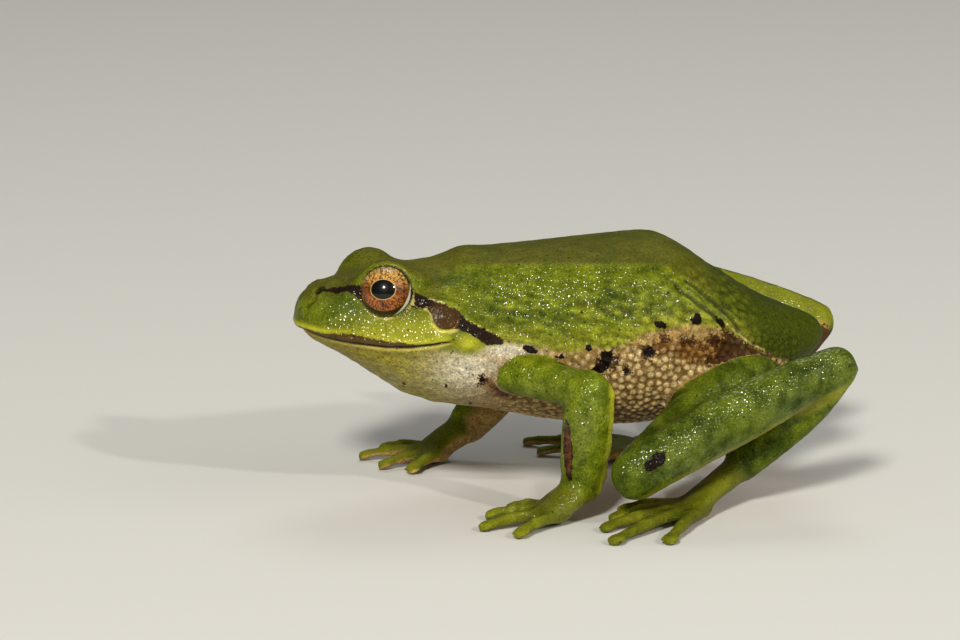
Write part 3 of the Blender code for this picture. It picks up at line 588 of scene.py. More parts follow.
def paintMarksAndShade():
    co, normal = points(skin.data), normals(skin.data)
    px, py = pixels(co)
    perMm = 1 / photo["pixelsPerMm"]
    side = np.where(co[:, 1] < 0, -1.0, 1.0)
    trunk = 1 - limb
    away = 3.0 * limb      # keeps the trunk's markings off the limbs
    green = list(greenEdge) + [(900, 375), (900, 150), (250, 150), (250, 330)]
    pale = areaGap(px, py, green) * perMm
    inner = -normal[:, 1] * side * 0.75 - normal[:, 2] * 0.55      # where a limb faces the body or floor
    pale = pale * trunk + (inner - 0.62) * 2.5 * limb
    paint("pale", pale)
    left = co[:, 1] < 0
    lower = np.where(left, py, py - 5)      # keeps the far stripe below the ridge of the snout
    stripes = np.minimum(areaGap(px, lower, nostrilStripe), areaGap(px, py, earStripe))
    paint("stripes", stripes * perMm + away)
    marks = np.min([areaGap(px, py, outline) for outline in blotches]
                   + [np.hypot(px - x, py - y) - r for x, y, r in dots], axis=0)
    marks += 40 * ramp(co[:, 0], 8, 10) * (1 - ramp(np.abs(co[:, 1]), 1.5, 2.5))      # none on the mid line
    shankPatch = np.where(left & (limb > 0.5), spotGap(px, py, kneeSpot) * perMm, 9.0)
    paint("marks", np.minimum(marks * perMm + away, shankPatch))
    rims = np.min([lineGap(px, py, earStripe[3:11]) + 0.9, lineGap(px, py, earRimLine) + 0.2,
                   lineGap(px, py, groinLine) + 0.6], axis=0) * perMm + away
    eyeReach = np.hypot(px - 387, py - 291)      # in pixels from the middle of the open eye
    lowerHalf = ramp(py + 0.12 * px, 343, 352)
    lidLine = np.abs(eyeReach - 26.6 - 1.0 * lowerHalf) + 1.1 - 1.2 * lowerHalf + 9 * (np.abs(co[:, 1]) < 3.8)
    rims = np.minimum(rims, lidLine * perMm + away)
    paint("rims", rims)
    # brown: the frog's brown spots, with painted shade in the groin and under the far heel
    groinShadeGap = np.maximum(areaGap(px, py, groinShadeArea) - 8, 0.5 - pale / perMm)      # below the green edge only
    brownAndShade = np.min([groinShadeGap] + [spotGap(px, py, spot) for spot in brownSpots], axis=0)
    heelShadeSpot = np.linalg.norm(co - (20.4, 8.8, 9.7), axis=1) - 1.5
    paint("brownAndShade", np.minimum(brownAndShade * perMm + away, heelShadeSpot))
    paint("streak", np.where(left & (limb > 0.5), spotGap(px, py, armStreak) * perMm, 9.0))
    rust = np.min([spotGap(px, py, spot) for spot in rustSpots], axis=0)
    paint("rust", rust * perMm + away)
    paint("white", spots(px, py, whiteSpots) * trunk)
    top = np.maximum(ramp(normal[:, 2], 0.35, 0.85) * (1 - ramp(px, 430, 450)),
                     ramp(-areaGap(px, py, backArea), -2, 5)) * trunk
    paint("top", top)
    paint("wet", spots(px, py, wetSpots) * trunk * (1 - 0.85 * top) + spots(px, py, wetLimbSpots) * limb)
    paint("teal", spots(px, py, tealSpots) * trunk)
    paint("drumShade", (1 - ramp(np.hypot(px - 443, py - 319), 14, 18)) * trunk)
    paint("leg", limb * ramp(gapTo(co, armNames) - gapTo(co, legNames), -0.5, 0.5))
    # painted shade in folds and painted highlight on knobs, from how the skin bends, weaker on the belly and
    # near the eyes
    bend = np.clip(bending(skin.data) / 2.5, -1, 1)
    paint("bend", bend * (1 - 0.6 * belly) * ramp(gapToEyes(co), 3.0, 4.5))
    head = ramp(-co[:, 0], 12.7, 13.5) * trunk
    height = overMouth(co)
    overLip = height - np.interp(co[:, 0], *zip(*lipShade))
    paint("lip", np.maximum(-height, overLip) + (1 - head) * 5)
    paint("lipPale", bell(height + 0.13, 0.13) * head)
    paint("limb", limb)
    paint("pebbles", pebbles)

    paint("rear", ramp(co[:, 0], 7.0, 9.5) * trunk)
    paint("throat", ramp(-co[:, 0], 8.0, 16.0) * trunk)
    paint("flank", flank)
    paint("belly", belly)
    # yellow on the lobe, cheek and lip line, and painted light on the neck
    yellow = np.maximum(spots(px, py, yellowSpotsAndNeckLight) * trunk, 0.75 * bell(overLip - 0.22, 0.2) * head)
    yellow = np.maximum(yellow, 0.55 * bell(overLip - 0.8, 0.9) * head * ramp(px, 330, 400))
    for name, s in sides.items():
        rel, gap, t = lidAngle(co, s)
        lidColour = 0.16 * bell(t - 2.5, 2.5) * (1 - ramp(gap, 2.45, 2.8))
        yellow = np.maximum(yellow, lidColour)
        yellow = np.maximum(yellow, 0.9 * edgeAlong(co, forearms[name], (0.97, 0.2 * s, 0.0)) * limb)
        yellow = np.maximum(yellow, 0.35 * edgeAlong(co, shanks[name], (0.45, 0.2 * s, -0.85)) * limb)
    farLeg = limb * (co[:, 1] > 6) * ramp(co[:, 0], 3, 6) * ramp(co[:, 2], 10.0, 11.5)
    yellow = np.maximum(yellow, 0.3 * farLeg * ramp(inner, -0.6, -0.2))
    paint("yellow", yellow)
    paint("hidden", ramp(inner - 0.4 * ramp(co[:, 0], 12, 18), 0.25, 0.5) * limb * ramp(co[:, 0], 2.0, 5.0))
    digit = ramp(-gapTo(co, digitNames + named("hand", "foot")), -0.5, 0.0)
    paint("digit", digit)
    # painted shade: dark lines in the fold grooves, the mouth slit and the nose groove, black in the nostril
    # pits and where the lids meet the eyeballs
    creaseShade = np.zeros(len(co))
    for line in foldLines:
        creaseShade = np.maximum(creaseShade, bell(lineGap(px, py, line), 2.0))
    creaseShade = np.maximum(0.45 * creaseShade * trunk, 0.85 * bell(height, 0.09) * head)
    creaseShade = np.maximum(creaseShade, 0.5 * bell(lineGap(px, py, noseLine), 1.3) * trunk)
    for s in sides.values():
        rel, gap, t = lidAngle(co, s)
        creaseShade = np.maximum(creaseShade, 1 - ramp(nostrilGap(co, s), 0.4, 0.65))
        outward = (gap < 3.2) & (np.abs(co[:, 1]) > 3.8)
        creaseShade = np.maximum(creaseShade, (1 - ramp(eyeReach - 1.0 * lowerHalf, 25.2, 26.0)) * outward)
    paint("creaseShade", creaseShade)


def placeSkin():
    low, high = (np.array(v) / mm - np.array(offset) for v in solidBounds)
    co = np.clip(points(skin.data), low + 0.01, high - 0.01)
    setPoints(skin.data, (co + np.array(offset)) * mm)
    skin.data.shade_smooth()


paintMarksAndShade()
placeSkin()
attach(skin, "root")
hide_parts(*fleshNames())
print("markings painted")


def finished(name, bm, place):      # a round piece whose place and turn are in its mesh
    bmesh.ops.transform(bm, matrix=place, verts=bm.verts)
    bmesh.ops.scale(bm, vec=(mm, mm, mm), verts=bm.verts)
    for face in bm.faces:
        face.smooth = True
    return newObject(name, meshFrom(name, bm))


# eyeballs: the colours follow the distance from the axis, across and up
def makeEyeball(name, side):
    axis = mirrored(eye["axis"], side)
    up = (Vector((0, 0, 1)) - axis * axis.z).normalized()
    across = up.cross(axis)
    turn = Matrix((across, up, axis)).transposed().to_4x4()
    bm = bmesh.new()
    bmesh.ops.create_uvsphere(bm, u_segments=64, v_segments=48, radius=1.0)
    u = bm.verts.layers.float.new("across")
    v = bm.verts.layers.float.new("upwards")
    for vert in bm.verts:
        bulge = math.exp(-(math.degrees(math.acos(max(-1, min(1, vert.co.z)))) / 42) ** 2)
        vert.co *= eye["radius"] - 0.06 + 0.055 * bulge
        vert[u] = -side * vert.co.x if vert.co.z > 0 else 3.0      # towards the rear on both sides
        vert[v] = vert.co.y
    ball = finished(name, bm, Matrix.Translation(eyeCentre(side) + offset) @ turn)
    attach(ball, "root")
    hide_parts("eye_" + name.split("_")[0])
    return ball


def makeEardrum(name, side):
    axis = mirrored(ear["axis"], side)
    bm = bmesh.new()
    bmesh.ops.create_uvsphere(bm, u_segments=48, v_segments=32, radius=1.0)
    for vert in bm.verts:
        ring = math.hypot(vert.co.x, vert.co.y)
        swell = 0.05 * math.exp(-(ring / 0.35) ** 2) - 0.03 * math.exp(-((ring - 0.62) / 0.2) ** 2)
        vert.co.x *= ear["radius"]
        vert.co.y *= ear["radius"]
        vert.co.z = vert.co.z * ear["thickness"] + (swell if vert.co.z > 0 else 0.0)
    turn = axis.to_track_quat("Z", "Y").to_matrix().to_4x4()
    place = mirrored(ear["centre"], side) + axis * (ear["face"] - ear["thickness"]) + offset
    drum = finished(name, bm, Matrix.Translation(place) @ turn)
    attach(drum, "root")
    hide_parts("eardrum_" + name.split("_")[0])
    return drum


eyeballs = [makeEyeball(name + "_eyeball", side) for name, side in sides.items()]
eardrums = [makeEardrum(name + "_drum", side) for name, side in sides.items()]
print("eyes and eardrums made")


# materials
def srgb(code):      # a hex colour as linear RGBA
    values = [int(code[k:k + 2], 16) / 255 for k in (0, 2, 4)]
    return (*(v / 12.92 if v <= 0.04045 else ((v + 0.055) / 1.055) ** 2.4 for v in values), 1.0)


def addNode(tree, kind, sockets=None, **settings):      # a node's first output, others through its .node
    made = tree.nodes.new("ShaderNode" + kind)
    for name, value in settings.items():
        setattr(made, name, value)
    for place, value in (sockets or {}).items():
        if isinstance(value, bpy.types.NodeSocket):
            tree.links.new(value, made.inputs[place])
        else:
            made.inputs[place].default_value = value
    return made.outputs[0] if len(made.outputs) else None


def newMaterial(name):
    material = bpy.data.materials.new(name)
    material.use_nodes = True
    tree = material.node_tree
    tree.nodes.clear()
    return material, tree


def inside(tree, gap, ragged, soft):      # 1 where a ragged distance is below zero
    rough = addNode(tree, "Math", {0: gap, 1: ragged}, operation="ADD")
    return addNode(tree, "MapRange", {0: rough, 1: soft, 2: -soft}, interpolation_type="SMOOTHSTEP")


skinLook = {      # sizes and heights in millimetres
    "granule": 0.26, "wrinkle": 0.16, "drop": 0.40, "patch": 1.1, "cloud": 3.4, "tear": 0.5, "speck": 0.8,
    "granuleHeight": 0.03, "wrinkleHeight": 0.07, "dropHeight": 0.13, "patchHeight": 0.16,
    "wet": 1.0, "dry": 0.04, "wetRoughness": 0.14,
    "flankDark": "3d4b02", "flankLight": "7a830c", "flankTop": "90971e", "flankEdge": "98982c",
    "teal": "445e1c", "top": "67651a", "topDark": "50550c", "rear": "3f4805", "limbDark": "3c4b02",
    "limbLight": "7c8812", "legTint": "ccd4b8",
    "cream": "ae8f52", "creamDark": "94763e", "creamGap": "6c4d28", "creamTop": "d2bd8a",
    "throat": "958c26", "white": "eae2c6", "rust": "b8976a", "yellow": "bdb930", "rim": "d0c070",
    # mark is the near-black of the markings and also of the painted shade in creases, nostrils and round the
    # eyes
    "hidden": "b87c2c", "brownAndShade": "3a2008", "markAndShade": "160c04", "stripe": "2a1a09", "drumShade": "4e3414",
    "lipShade": "44320f", "lipPale": "a8984a", "digit": "6c6818", "streak": "6e4020", "streakDark": "341c0b",
}


def makeSkinMaterial():      # moist frog skin: granular green over a cream belly, under a wet film
    material, tree = newMaterial("moist_frog_skin")
    look = skinLook
    place = addNode(tree, "TexCoord").node.outputs["Object"]
    kept = {n: addNode(tree, "Attribute", attribute_name=n).node.outputs["Fac"] for n in (
        "pale", "marks", "stripes", "rims", "brownAndShade", "rust", "white", "wet", "lip", "lipPale", "limb", "top",
        "rear", "throat", "flank", "belly", "pebbles", "yellow", "hidden", "digit", "creaseShade", "teal",
        "drumShade", "leg", "bend", "streak")}
    drop = addNode(tree, "TexVoronoi", {"Vector": place, "Scale": 1000 / look["drop"]})
    cloud = addNode(tree, "TexNoise", {"Vector": place, "Scale": 1000 / look["cloud"], "Detail": 4.0})
    patch = addNode(tree, "TexNoise", {"Vector": place, "Scale": 1000 / look["patch"], "Detail": 3.0})
    fine = addNode(tree, "TexNoise", {"Vector": place, "Scale": 1000 / look["wrinkle"], "Detail": 3.0})
    torn = addNode(tree, "TexNoise", {
        "Vector": place, "Scale": 1000 / look["tear"], "Detail": 4.0, "Roughness": 0.65})
    granule = addNode(tree, "TexVoronoi", {"Vector": place, "Scale": 1000 / look["granule"]})
    grain = addNode(tree, "MapRange", {0: granule, 1: 0.65, 2: 0.05})
    ragged = addNode(tree, "Math", {0: torn, 1: 1.1, 2: -0.55}, operation="MULTIPLY_ADD")
    ripple = addNode(tree, "Math", {0: torn, 1: 0.5, 2: -0.25}, operation="MULTIPLY_ADD")
    crumbs = addNode(tree, "Math", {0: fine, 1: 1.4, 2: -0.7}, operation="MULTIPLY_ADD")
    crumbs = addNode(tree, "Math", {0: crumbs, 1: ragged}, operation="ADD")
    # green of the flank, back and limbs
    mixed = addNode(tree, "Math", {0: cloud, 1: patch}, operation="ADD")
    mixed = addNode(tree, "MapRange", {0: mixed, 1: 0.72, 2: 1.28})
    colour = addNode(tree, "MixRGB", {0: mixed, 1: srgb(look["flankDark"]), 2: srgb(look["flankLight"])})
    olive = addNode(tree, "MixRGB", {0: mixed, 1: srgb(look["topDark"]), 2: srgb(look["top"])})
    colour = addNode(tree, "MixRGB", {0: kept["top"], 1: colour, 2: olive})
    colour = addNode(tree, "MixRGB", {0: kept["rear"], 1: colour, 2: srgb(look["rear"])})
    tealShare = addNode(tree, "Math", {0: kept["teal"], 1: patch}, operation="MULTIPLY")
    colour = addNode(tree, "MixRGB", {0: tealShare, 1: colour, 2: srgb(look["teal"])})
    limbGreen = addNode(tree, "MixRGB", {0: mixed, 1: srgb(look["limbDark"]), 2: srgb(look["limbLight"])})
    colour = addNode(tree, "MixRGB", {0: kept["limb"], 1: colour, 2: limbGreen})
    tint = srgb(look["legTint"])
    colour = addNode(tree, "MixRGB", {0: kept["leg"], 1: colour, 2: tint}, blend_type="MULTIPLY")
    lumpShare = addNode(tree, "Math", {0: kept["pebbles"], 1: kept["flank"]}, operation="MULTIPLY")
    lumpShare = addNode(tree, "Math", {0: lumpShare, 1: 0.45}, operation="MULTIPLY")
    colour = addNode(tree, "MixRGB", {0: lumpShare, 1: colour, 2: srgb(look["flankTop"])})
    edgeShare = addNode(tree, "MapRange", {0: kept["pale"], 1: -1.8, 2: -0.1, 4: 0.6})
    edgeShare = addNode(tree, "Math", {0: edgeShare, 1: kept["flank"]}, operation="MULTIPLY")
    colour = addNode(tree, "MixRGB", {0: edgeShare, 1: colour, 2: srgb(look["flankEdge"])})
    darker = addNode(tree, "MapRange", {0: fine, 1: 0.3, 2: 0.7, 3: 0.55, 4: 1.4})
    colour = addNode(tree, "MixRGB", {0: 1.0, 1: colour, 2: darker}, blend_type="MULTIPLY")
    digitShare = addNode(tree, "Math", {0: kept["digit"], 1: cloud}, operation="MULTIPLY")
    colour = addNode(tree, "MixRGB", {0: digitShare, 1: colour, 2: srgb(look["digit"])})
    # cream underside, with yellow-green towards the throat
    cream = addNode(tree, "MixRGB", {0: mixed, 1: srgb(look["creamDark"]), 2: srgb(look["cream"])})
    throatShare = addNode(tree, "Math", {0: kept["throat"], 1: patch}, operation="MULTIPLY")
    throatShare = addNode(tree, "MapRange", {0: throatShare, 1: 0.1, 2: 0.45, 4: 0.9})
    cream = addNode(tree, "MixRGB", {0: throatShare, 1: cream, 2: srgb(look["throat"])})
    cream = addNode(tree, "MixRGB", {0: kept["white"], 1: cream, 2: srgb(look["white"])})
    tops = addNode(tree, "MapRange", {0: kept["pebbles"], 1: 0.3, 2: 0.75, 4: 0.65})
    tops = addNode(tree, "Math", {0: tops, 1: kept["belly"]}, operation="MULTIPLY")
    cream = addNode(tree, "MixRGB", {0: tops, 1: cream, 2: srgb(look["creamTop"])})
    gaps = addNode(tree, "MapRange", {0: kept["pebbles"], 1: 0.4, 2: 0.05, 4: 0.6})
    deep = addNode(tree, "MapRange", {0: kept["pale"], 1: 0.3, 2: 3.2, 3: 0.2, 4: 0.75})
    gaps = addNode(tree, "Math", {0: gaps, 1: deep}, operation="MULTIPLY")
    gaps = addNode(tree, "Math", {0: gaps, 1: kept["belly"]}, operation="MULTIPLY")
    cream = addNode(tree, "MixRGB", {0: gaps, 1: cream, 2: srgb(look["creamGap"])})
    rustShare = inside(tree, kept["rust"], ragged, 0.5)
    cream = addNode(tree, "MixRGB", {0: rustShare, 1: cream, 2: srgb(look["rust"])}, blend_type="MULTIPLY")
    mottle = addNode(tree, "MapRange", {0: fine, 1: 0.32, 2: 0.65, 3: 0.55, 4: 1.2})
    cream = addNode(tree, "MixRGB", {0: 1.0, 1: cream, 2: mottle}, blend_type="MULTIPLY")
    stain = addNode(tree, "MapRange", {0: torn, 1: 0.35, 2: 0.6, 3: 0.66, 4: 1.15})
    cream = addNode(tree, "MixRGB", {0: 1.0, 1: cream, 2: stain}, blend_type="MULTIPLY")
    palePart = addNode(tree, "Math", {0: kept["pale"], 1: -1.0}, operation="MULTIPLY")
    paleShare = inside(tree, palePart, crumbs, 0.2)
    colour = addNode(tree, "MixRGB", {0: paleShare, 1: colour, 2: cream})
    hiddenShare = addNode(tree, "Math", {0: kept["hidden"], 1: 0.85}, operation="MULTIPLY")
    colour = addNode(tree, "MixRGB", {0: hiddenShare, 1: colour, 2: srgb(look["hidden"])})
    hiddenSpots = addNode(tree, "MapRange", {0: patch, 1: 0.52, 2: 0.6, 4: 0.85})
    hiddenSpots = addNode(tree, "Math", {0: hiddenSpots, 1: kept["hidden"]}, operation="MULTIPLY")
    colour = addNode(tree, "MixRGB", {0: hiddenSpots, 1: colour, 2: srgb(look["brownAndShade"])})
    # yellow rims, lips and the line over the stripe
    yellowShare = addNode(tree, "Math", {0: kept["yellow"], 1: 0.85}, operation="MULTIPLY")
    colour = addNode(tree, "MixRGB", {0: yellowShare, 1: colour, 2: srgb(look["yellow"])})
    bandShare = inside(tree, kept["lip"], ripple, 0.05)
    colour = addNode(tree, "MixRGB", {0: bandShare, 1: colour, 2: srgb(look["lipShade"])})
    colour = addNode(tree, "MixRGB", {0: kept["lipPale"], 1: colour, 2: srgb(look["lipPale"])})
    # brown and black markings, then painted shade in the groin, under the far heel, in creases and folds,
    # with painted highlight on knobs
    brownShare = inside(tree, kept["brownAndShade"], crumbs, 0.08)
    brownShare = addNode(tree, "Math", {0: brownShare, 1: 0.9}, operation="MULTIPLY")
    colour = addNode(tree, "MixRGB", {0: brownShare, 1: colour, 2: srgb(look["brownAndShade"])})
    markShare = inside(tree, kept["marks"], ripple, 0.04)
    colour = addNode(tree, "MixRGB", {0: markShare, 1: colour, 2: srgb(look["markAndShade"])})
    stripeShare = inside(tree, kept["stripes"], ripple, 0.05)
    stripeTone = addNode(tree, "MixRGB", {0: mixed, 1: srgb(look["markAndShade"]), 2: srgb(look["stripe"])})
    stripeTone = addNode(tree, "MixRGB", {0: kept["drumShade"], 1: stripeTone, 2: srgb(look["drumShade"])})
    colour = addNode(tree, "MixRGB", {0: stripeShare, 1: colour, 2: stripeTone})
    frayed = addNode(tree, "Math", {0: ripple, 1: 0.9}, operation="MULTIPLY")
    streakShare = inside(tree, kept["streak"], frayed, 0.03)
    streakEdge = addNode(tree, "MapRange", {0: kept["streak"], 1: -0.16, 2: -0.02, 4: 0.9})
    scab = addNode(tree, "MapRange", {0: torn, 1: 0.4, 2: 0.6})
    streakTone = addNode(tree, "MixRGB", {0: scab, 1: srgb(look["streakDark"]), 2: srgb(look["streak"])})
    streakTone = addNode(tree, "MixRGB", {0: streakEdge, 1: streakTone, 2: srgb(look["markAndShade"])})
    colour = addNode(tree, "MixRGB", {0: streakShare, 1: colour, 2: streakTone})
    thick = addNode(tree, "MapRange", {0: torn, 1: 0.35, 2: 0.65, 3: -0.05, 4: -0.17})
    rimShare = inside(tree, kept["rims"], thick, 0.07)
    rimShare = addNode(tree, "Math", {0: rimShare, 1: 0.75}, operation="MULTIPLY")
    colour = addNode(tree, "MixRGB", {0: rimShare, 1: colour, 2: srgb(look["rim"])})
    speck = addNode(tree, "TexVoronoi", {"Vector": place, "Scale": 1000 / look["speck"]})
    speckShare = addNode(tree, "MapRange", {0: speck, 1: 0.14, 2: 0.08, 4: 0.75})
    colour = addNode(tree, "MixRGB", {0: speckShare, 1: colour, 2: srgb(look["markAndShade"])})
    # painted shade in the creases, the mouth slit, the nostrils and round the eyes
    creaseShadeShare = addNode(tree, "Math", {0: kept["creaseShade"], 1: 0.9}, operation="MULTIPLY")
    colour = addNode(tree, "MixRGB", {0: creaseShadeShare, 1: colour, 2: srgb(look["markAndShade"])})
    # painted shade in the folds and painted highlight on the knobs
    shade = addNode(tree, "MapRange", {0: kept["bend"], 1: -1.0, 2: 1.0, 3: 1.35, 4: 0.4})
    colour = addNode(tree, "MixRGB", {0: 1.0, 1: colour, 2: shade}, blend_type="MULTIPLY")
    # relief in millimetres, and water that lies in patches
    height = addNode(tree, "Math", {0: grain, 1: look["granuleHeight"]}, operation="MULTIPLY")
    height = addNode(tree, "Math", {0: fine, 1: look["wrinkleHeight"], 2: height}, operation="MULTIPLY_ADD")
    bump = addNode(tree, "Bump", {"Distance": mm, "Height": height})
    rough = addNode(tree, "MapRange", {0: fine, 1: 0.3, 2: 0.7, 3: 0.45, 4: 0.7})
    film = addNode(tree, "MapRange", {0: patch, 1: 0.4, 2: 0.5, 3: 0.3, 4: 1.0})
    film = addNode(tree, "Math", {0: film, 1: kept["wet"]}, operation="MULTIPLY")
    matt = addNode(tree, "Math", {0: markShare, 1: -0.85, 2: 1.0}, operation="MULTIPLY_ADD")
    film = addNode(tree, "Math", {0: film, 1: matt}, operation="MULTIPLY")
    film = addNode(tree, "MapRange", {0: film, 1: 0.0, 2: 1.0, 3: look["dry"], 4: look["wet"]})
    swell = addNode(tree, "Math", {0: drop, 1: drop}, operation="MULTIPLY")
    swell = addNode(tree, "Math", {0: swell, 1: -look["dropHeight"]}, operation="MULTIPLY")
    swell = addNode(tree, "Math", {0: patch, 1: look["patchHeight"], 2: swell}, operation="MULTIPLY_ADD")
    drops = addNode(tree, "Bump", {"Distance": mm, "Height": swell})
    shader = addNode(tree, "BsdfPrincipled", {
        "Base Color": colour, "Roughness": rough, "IOR": 1.36, "Specular IOR Level": 0.1, "Normal": bump,
        "Coat Normal": drops, "Coat Weight": film, "Coat Roughness": look["wetRoughness"], "Coat IOR": 1.5})
    addNode(tree, "OutputMaterial", {"Surface": shader})
    return material


irisLook = {
    "copper": "ae6422", "gold": "d0a356", "low": "8c4c17", "side": "541f05", "vein": "180a03",
    "ring": "cfa558", "edge": "1c1006", "rim": "d8d6bc", "pupil": "050503",
    "slitPlace": (0.0, -1.05, 0.0), "slitStretch": (10.0, 2.2, 0.0),      # the dark line under the pupil
}


def makeIrisMaterial():      # copper iris with dark veins under a clear wet cornea
    material, tree = newMaterial("frog_eye")
    look = irisLook
    u = addNode(tree, "Attribute", attribute_name="across").node.outputs["Fac"]
    v = addNode(tree, "Attribute", attribute_name="upwards").node.outputs["Fac"]
    flat = addNode(tree, "CombineXYZ", {0: u, 1: v})
    radius = addNode(tree, "VectorMath", {0: flat}, operation="LENGTH").node.outputs["Value"]
    unit = addNode(tree, "VectorMath", {0: flat}, operation="NORMALIZE")
    parted = addNode(tree, "SeparateXYZ", {0: unit}).node
    around = addNode(tree, "VectorMath", {0: unit, 1: (4.2, 4.2, 4.2)}, operation="MULTIPLY")
    depth = addNode(tree, "Math", {0: radius, 1: 2.0}, operation="MULTIPLY")
    inward = addNode(tree, "CombineXYZ", {2: depth})
    fibres = addNode(tree, "VectorMath", {0: around, 1: inward}, operation="ADD")
    warp = addNode(tree, "TexNoise", {"Vector": fibres, "Scale": 2.0, "Detail": 2.0}).node.outputs["Color"]
    bent = addNode(tree, "VectorMath", {0: warp, 1: (0.7, 0.7, 0.7), 2: fibres}, operation="MULTIPLY_ADD")
    veins = addNode(tree, "TexVoronoi", {"Vector": bent, "Scale": 1.1}, feature="DISTANCE_TO_EDGE")
    strands = addNode(tree, "TexNoise", {"Vector": bent, "Scale": 3.0, "Detail": 3.0})
    upper = addNode(tree, "MapRange", {0: v, 1: -0.3, 2: 1.3})
    lower = addNode(tree, "MapRange", {0: v, 1: -0.2, 2: -1.3, 4: 0.7})
    colour = addNode(tree, "MixRGB", {0: upper, 1: srgb(look["copper"]), 2: srgb(look["gold"])})
    colour = addNode(tree, "MixRGB", {0: lower, 1: colour, 2: srgb(look["low"])})
    level = addNode(tree, "Math", {0: parted.outputs["Y"]}, operation="ABSOLUTE")
    sidewards = addNode(tree, "MapRange", {0: level, 1: 0.6, 2: 0.1, 4: 1.3})
    sidewards = addNode(tree, "Math", {0: sidewards, 1: strands}, operation="MULTIPLY")
    colour = addNode(tree, "MixRGB", {0: sidewards, 1: colour, 2: srgb(look["side"])})
    tone = addNode(tree, "MapRange", {0: strands, 1: 0.3, 2: 0.7, 3: 0.4, 4: 1.5})
    colour = addNode(tree, "MixRGB", {0: 1.0, 1: colour, 2: tone}, blend_type="MULTIPLY")
    veinWidth = addNode(tree, "MapRange", {0: strands, 1: 0.35, 2: 0.65, 3: 0.2, 4: 0.06})
    veinShare = addNode(tree, "MapRange", {0: veins, 1: veinWidth, 2: 0.01, 4: 0.9})
    colour = addNode(tree, "MixRGB", {0: veinShare, 1: colour, 2: srgb(look["vein"])})
    slit = addNode(tree, "VectorMath", {0: flat, 1: look["slitPlace"]}, operation="SUBTRACT")
    slit = addNode(tree, "VectorMath", {0: slit, 1: look["slitStretch"]}, operation="MULTIPLY")
    slitGap = addNode(tree, "VectorMath", {0: slit}, operation="LENGTH").node.outputs["Value"]
    slitShare = addNode(tree, "MapRange", {0: slitGap, 1: 1.0, 2: 0.3, 4: 0.85})
    colour = addNode(tree, "MixRGB", {0: slitShare, 1: colour, 2: srgb(look["vein"])})
    wide, tall = eye["pupil"]
    oval = addNode(tree, "VectorMath", {0: flat, 1: (1 / wide, 1 / tall, 0.0)}, operation="MULTIPLY")
    pupilGap = addNode(tree, "VectorMath", {0: oval}, operation="LENGTH").node.outputs["Value"]
    ringShare = addNode(tree, "MapRange", {0: pupilGap, 1: 1.09, 2: 1.04, 4: 0.8},
                        interpolation_type="SMOOTHSTEP")
    colour = addNode(tree, "MixRGB", {0: ringShare, 1: colour, 2: srgb(look["ring"])})
    pupilShare = addNode(tree, "MapRange", {0: pupilGap, 1: 1.02, 2: 0.97})
    colour = addNode(tree, "MixRGB", {0: pupilShare, 1: colour, 2: srgb(look["pupil"])})
    # the dark ring round the iris, widening below into painted shade from the lower lid
    edgeStartWithShade = addNode(tree, "MapRange", {0: parted.outputs["Y"], 1: -0.3, 2: -0.95, 3: 1.87, 4: 1.6})
    edgeGap = addNode(tree, "Math", {0: radius, 1: edgeStartWithShade}, operation="SUBTRACT")
    edgeShare = addNode(tree, "MapRange", {0: edgeGap, 1: 0.0, 2: 0.05})
    colour = addNode(tree, "MixRGB", {0: edgeShare, 1: colour, 2: srgb(look["edge"])})
    backward = addNode(tree, "VectorMath", {0: unit, 1: (0.9, -0.43, 0.0)}, operation="DOT_PRODUCT")
    backward = backward.node.outputs["Value"]
    rimStart = addNode(tree, "MapRange", {0: backward, 1: 0.5, 2: 1.0, 3: 2.06, 4: 1.83})
    rimGap = addNode(tree, "Math", {0: radius, 1: rimStart}, operation="SUBTRACT")
    rimShare = addNode(tree, "MapRange", {0: rimGap, 1: 0.0, 2: 0.03})
    below = addNode(tree, "MapRange", {0: parted.outputs["Y"], 1: 0.6, 2: 0.2})
    rimShare = addNode(tree, "Math", {0: rimShare, 1: below}, operation="MULTIPLY")
    colour = addNode(tree, "MixRGB", {0: rimShare, 1: colour, 2: srgb(look["rim"])})
    shader = addNode(tree, "BsdfPrincipled", {
        "Base Color": colour, "Roughness": 0.35, "IOR": 1.38, "Specular IOR Level": 0.15, "Coat Weight": 1.0,
        "Coat Roughness": 0.02, "Coat IOR": 1.38})
    addNode(tree, "OutputMaterial", {"Surface": shader})
    return material


drumLook = {
    "thin": "4e3412", "thick": "2a1a07", "light": "b09a50",
    "cloud": 0.6, "granule": 0.2, "granuleHeight": 0.012,      # millimetres
}


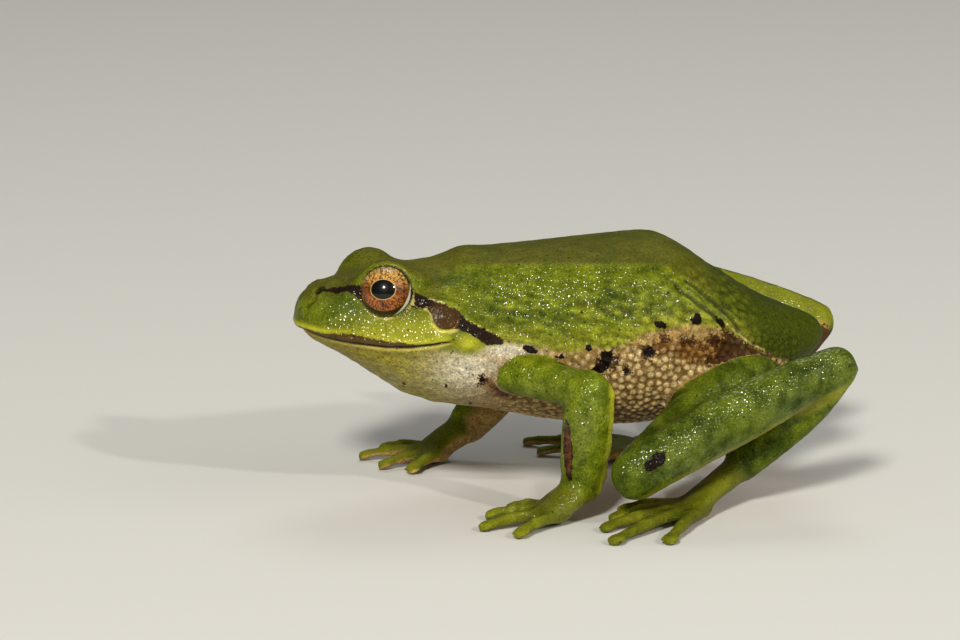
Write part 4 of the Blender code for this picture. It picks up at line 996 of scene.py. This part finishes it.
def makeDrumMaterial():      # thin brown membrane, stippled and wet
    material, tree = newMaterial("eardrum_membrane")
    look = drumLook
    place = addNode(tree, "TexCoord").node.outputs["Object"]
    cloud = addNode(tree, "TexNoise", {"Vector": place, "Scale": 1000 / look["cloud"], "Detail": 3.0})
    granule = addNode(tree, "TexVoronoi", {"Vector": place, "Scale": 1000 / look["granule"]})
    colour = addNode(tree, "MixRGB", {0: cloud, 1: srgb(look["thick"]), 2: srgb(look["thin"])})
    lightShare = addNode(tree, "MapRange", {0: granule, 1: 0.3, 2: 0.1, 4: 0.45})
    colour = addNode(tree, "MixRGB", {0: lightShare, 1: colour, 2: srgb(look["light"])})
    height = addNode(tree, "Math", {0: granule, 1: -look["granuleHeight"]}, operation="MULTIPLY")
    bump = addNode(tree, "Bump", {"Distance": mm, "Height": height})
    shader = addNode(tree, "BsdfPrincipled", {
        "Base Color": colour, "Roughness": 0.55, "IOR": 1.36, "Specular IOR Level": 0.2, "Normal": bump,
        "Coat Normal": bump, "Coat Weight": 0.15, "Coat Roughness": 0.15, "Coat IOR": 1.33})
    addNode(tree, "OutputMaterial", {"Surface": shader})
    return material


skin.data.materials.append(makeSkinMaterial())
for piece, material in ((eyeballs, makeIrisMaterial()), (eardrums, makeDrumMaterial())):
    for obj in piece:
        obj.data.materials.append(material)
print("materials made")


# floor and lights
def makeFloor():
    bm = bmesh.new()
    bmesh.ops.create_grid(bm, x_segments=1, y_segments=1, size=3.0)
    floor = newObject("floor", meshFrom("floor", bm))
    material, tree = newMaterial("matt_studio_floor")      # smooth paint, pale and without gloss
    shader = addNode(tree, "BsdfPrincipled", {"Base Color": srgb("e6e5e0"), "Roughness": 0.9})
    addNode(tree, "OutputMaterial", {"Surface": shader})
    floor.data.materials.append(material)


lamps = [      # azimuth and elevation in degrees, size in millimetres, watts, colour
    ("key", -21, 33, 120, 6.8, (1.0, 0.96, 0.88)),
    ("fill", 60, 30, 700, 1.4, (1.0, 0.97, 0.92)),
    ("sparkle", 32, 30, 38, 2.0, (1.0, 0.97, 0.92)),
    ("rim", 165, 55, 400, 1.2, (1.0, 1.0, 1.0)),
]
lampDistance = 900.0


def areaLight(name, azimuth, elevation, size, power, colour):
    lamp = newObject(name, bpy.data.lights.new(name, "AREA"))
    back = viewBack(azimuth, elevation)
    lamp.location = (Vector((0, 0, 10.0)) + back * lampDistance) * mm
    aim(lamp, -back)
    lamp.data.size = size * mm
    lamp.data.energy = power
    lamp.data.color = colour


makeFloor()
makeCamera()
for lamp in lamps:
    areaLight(*lamp)
world = bpy.data.worlds.new("studio")
bpy.context.scene.world = world
world.use_nodes = True
world.node_tree.nodes["Background"].inputs["Color"].default_value = (0.85, 0.84, 0.80, 1.0)
world.node_tree.nodes["Background"].inputs["Strength"].default_value = 0.13
bpy.context.scene.view_settings.view_transform = "Standard"
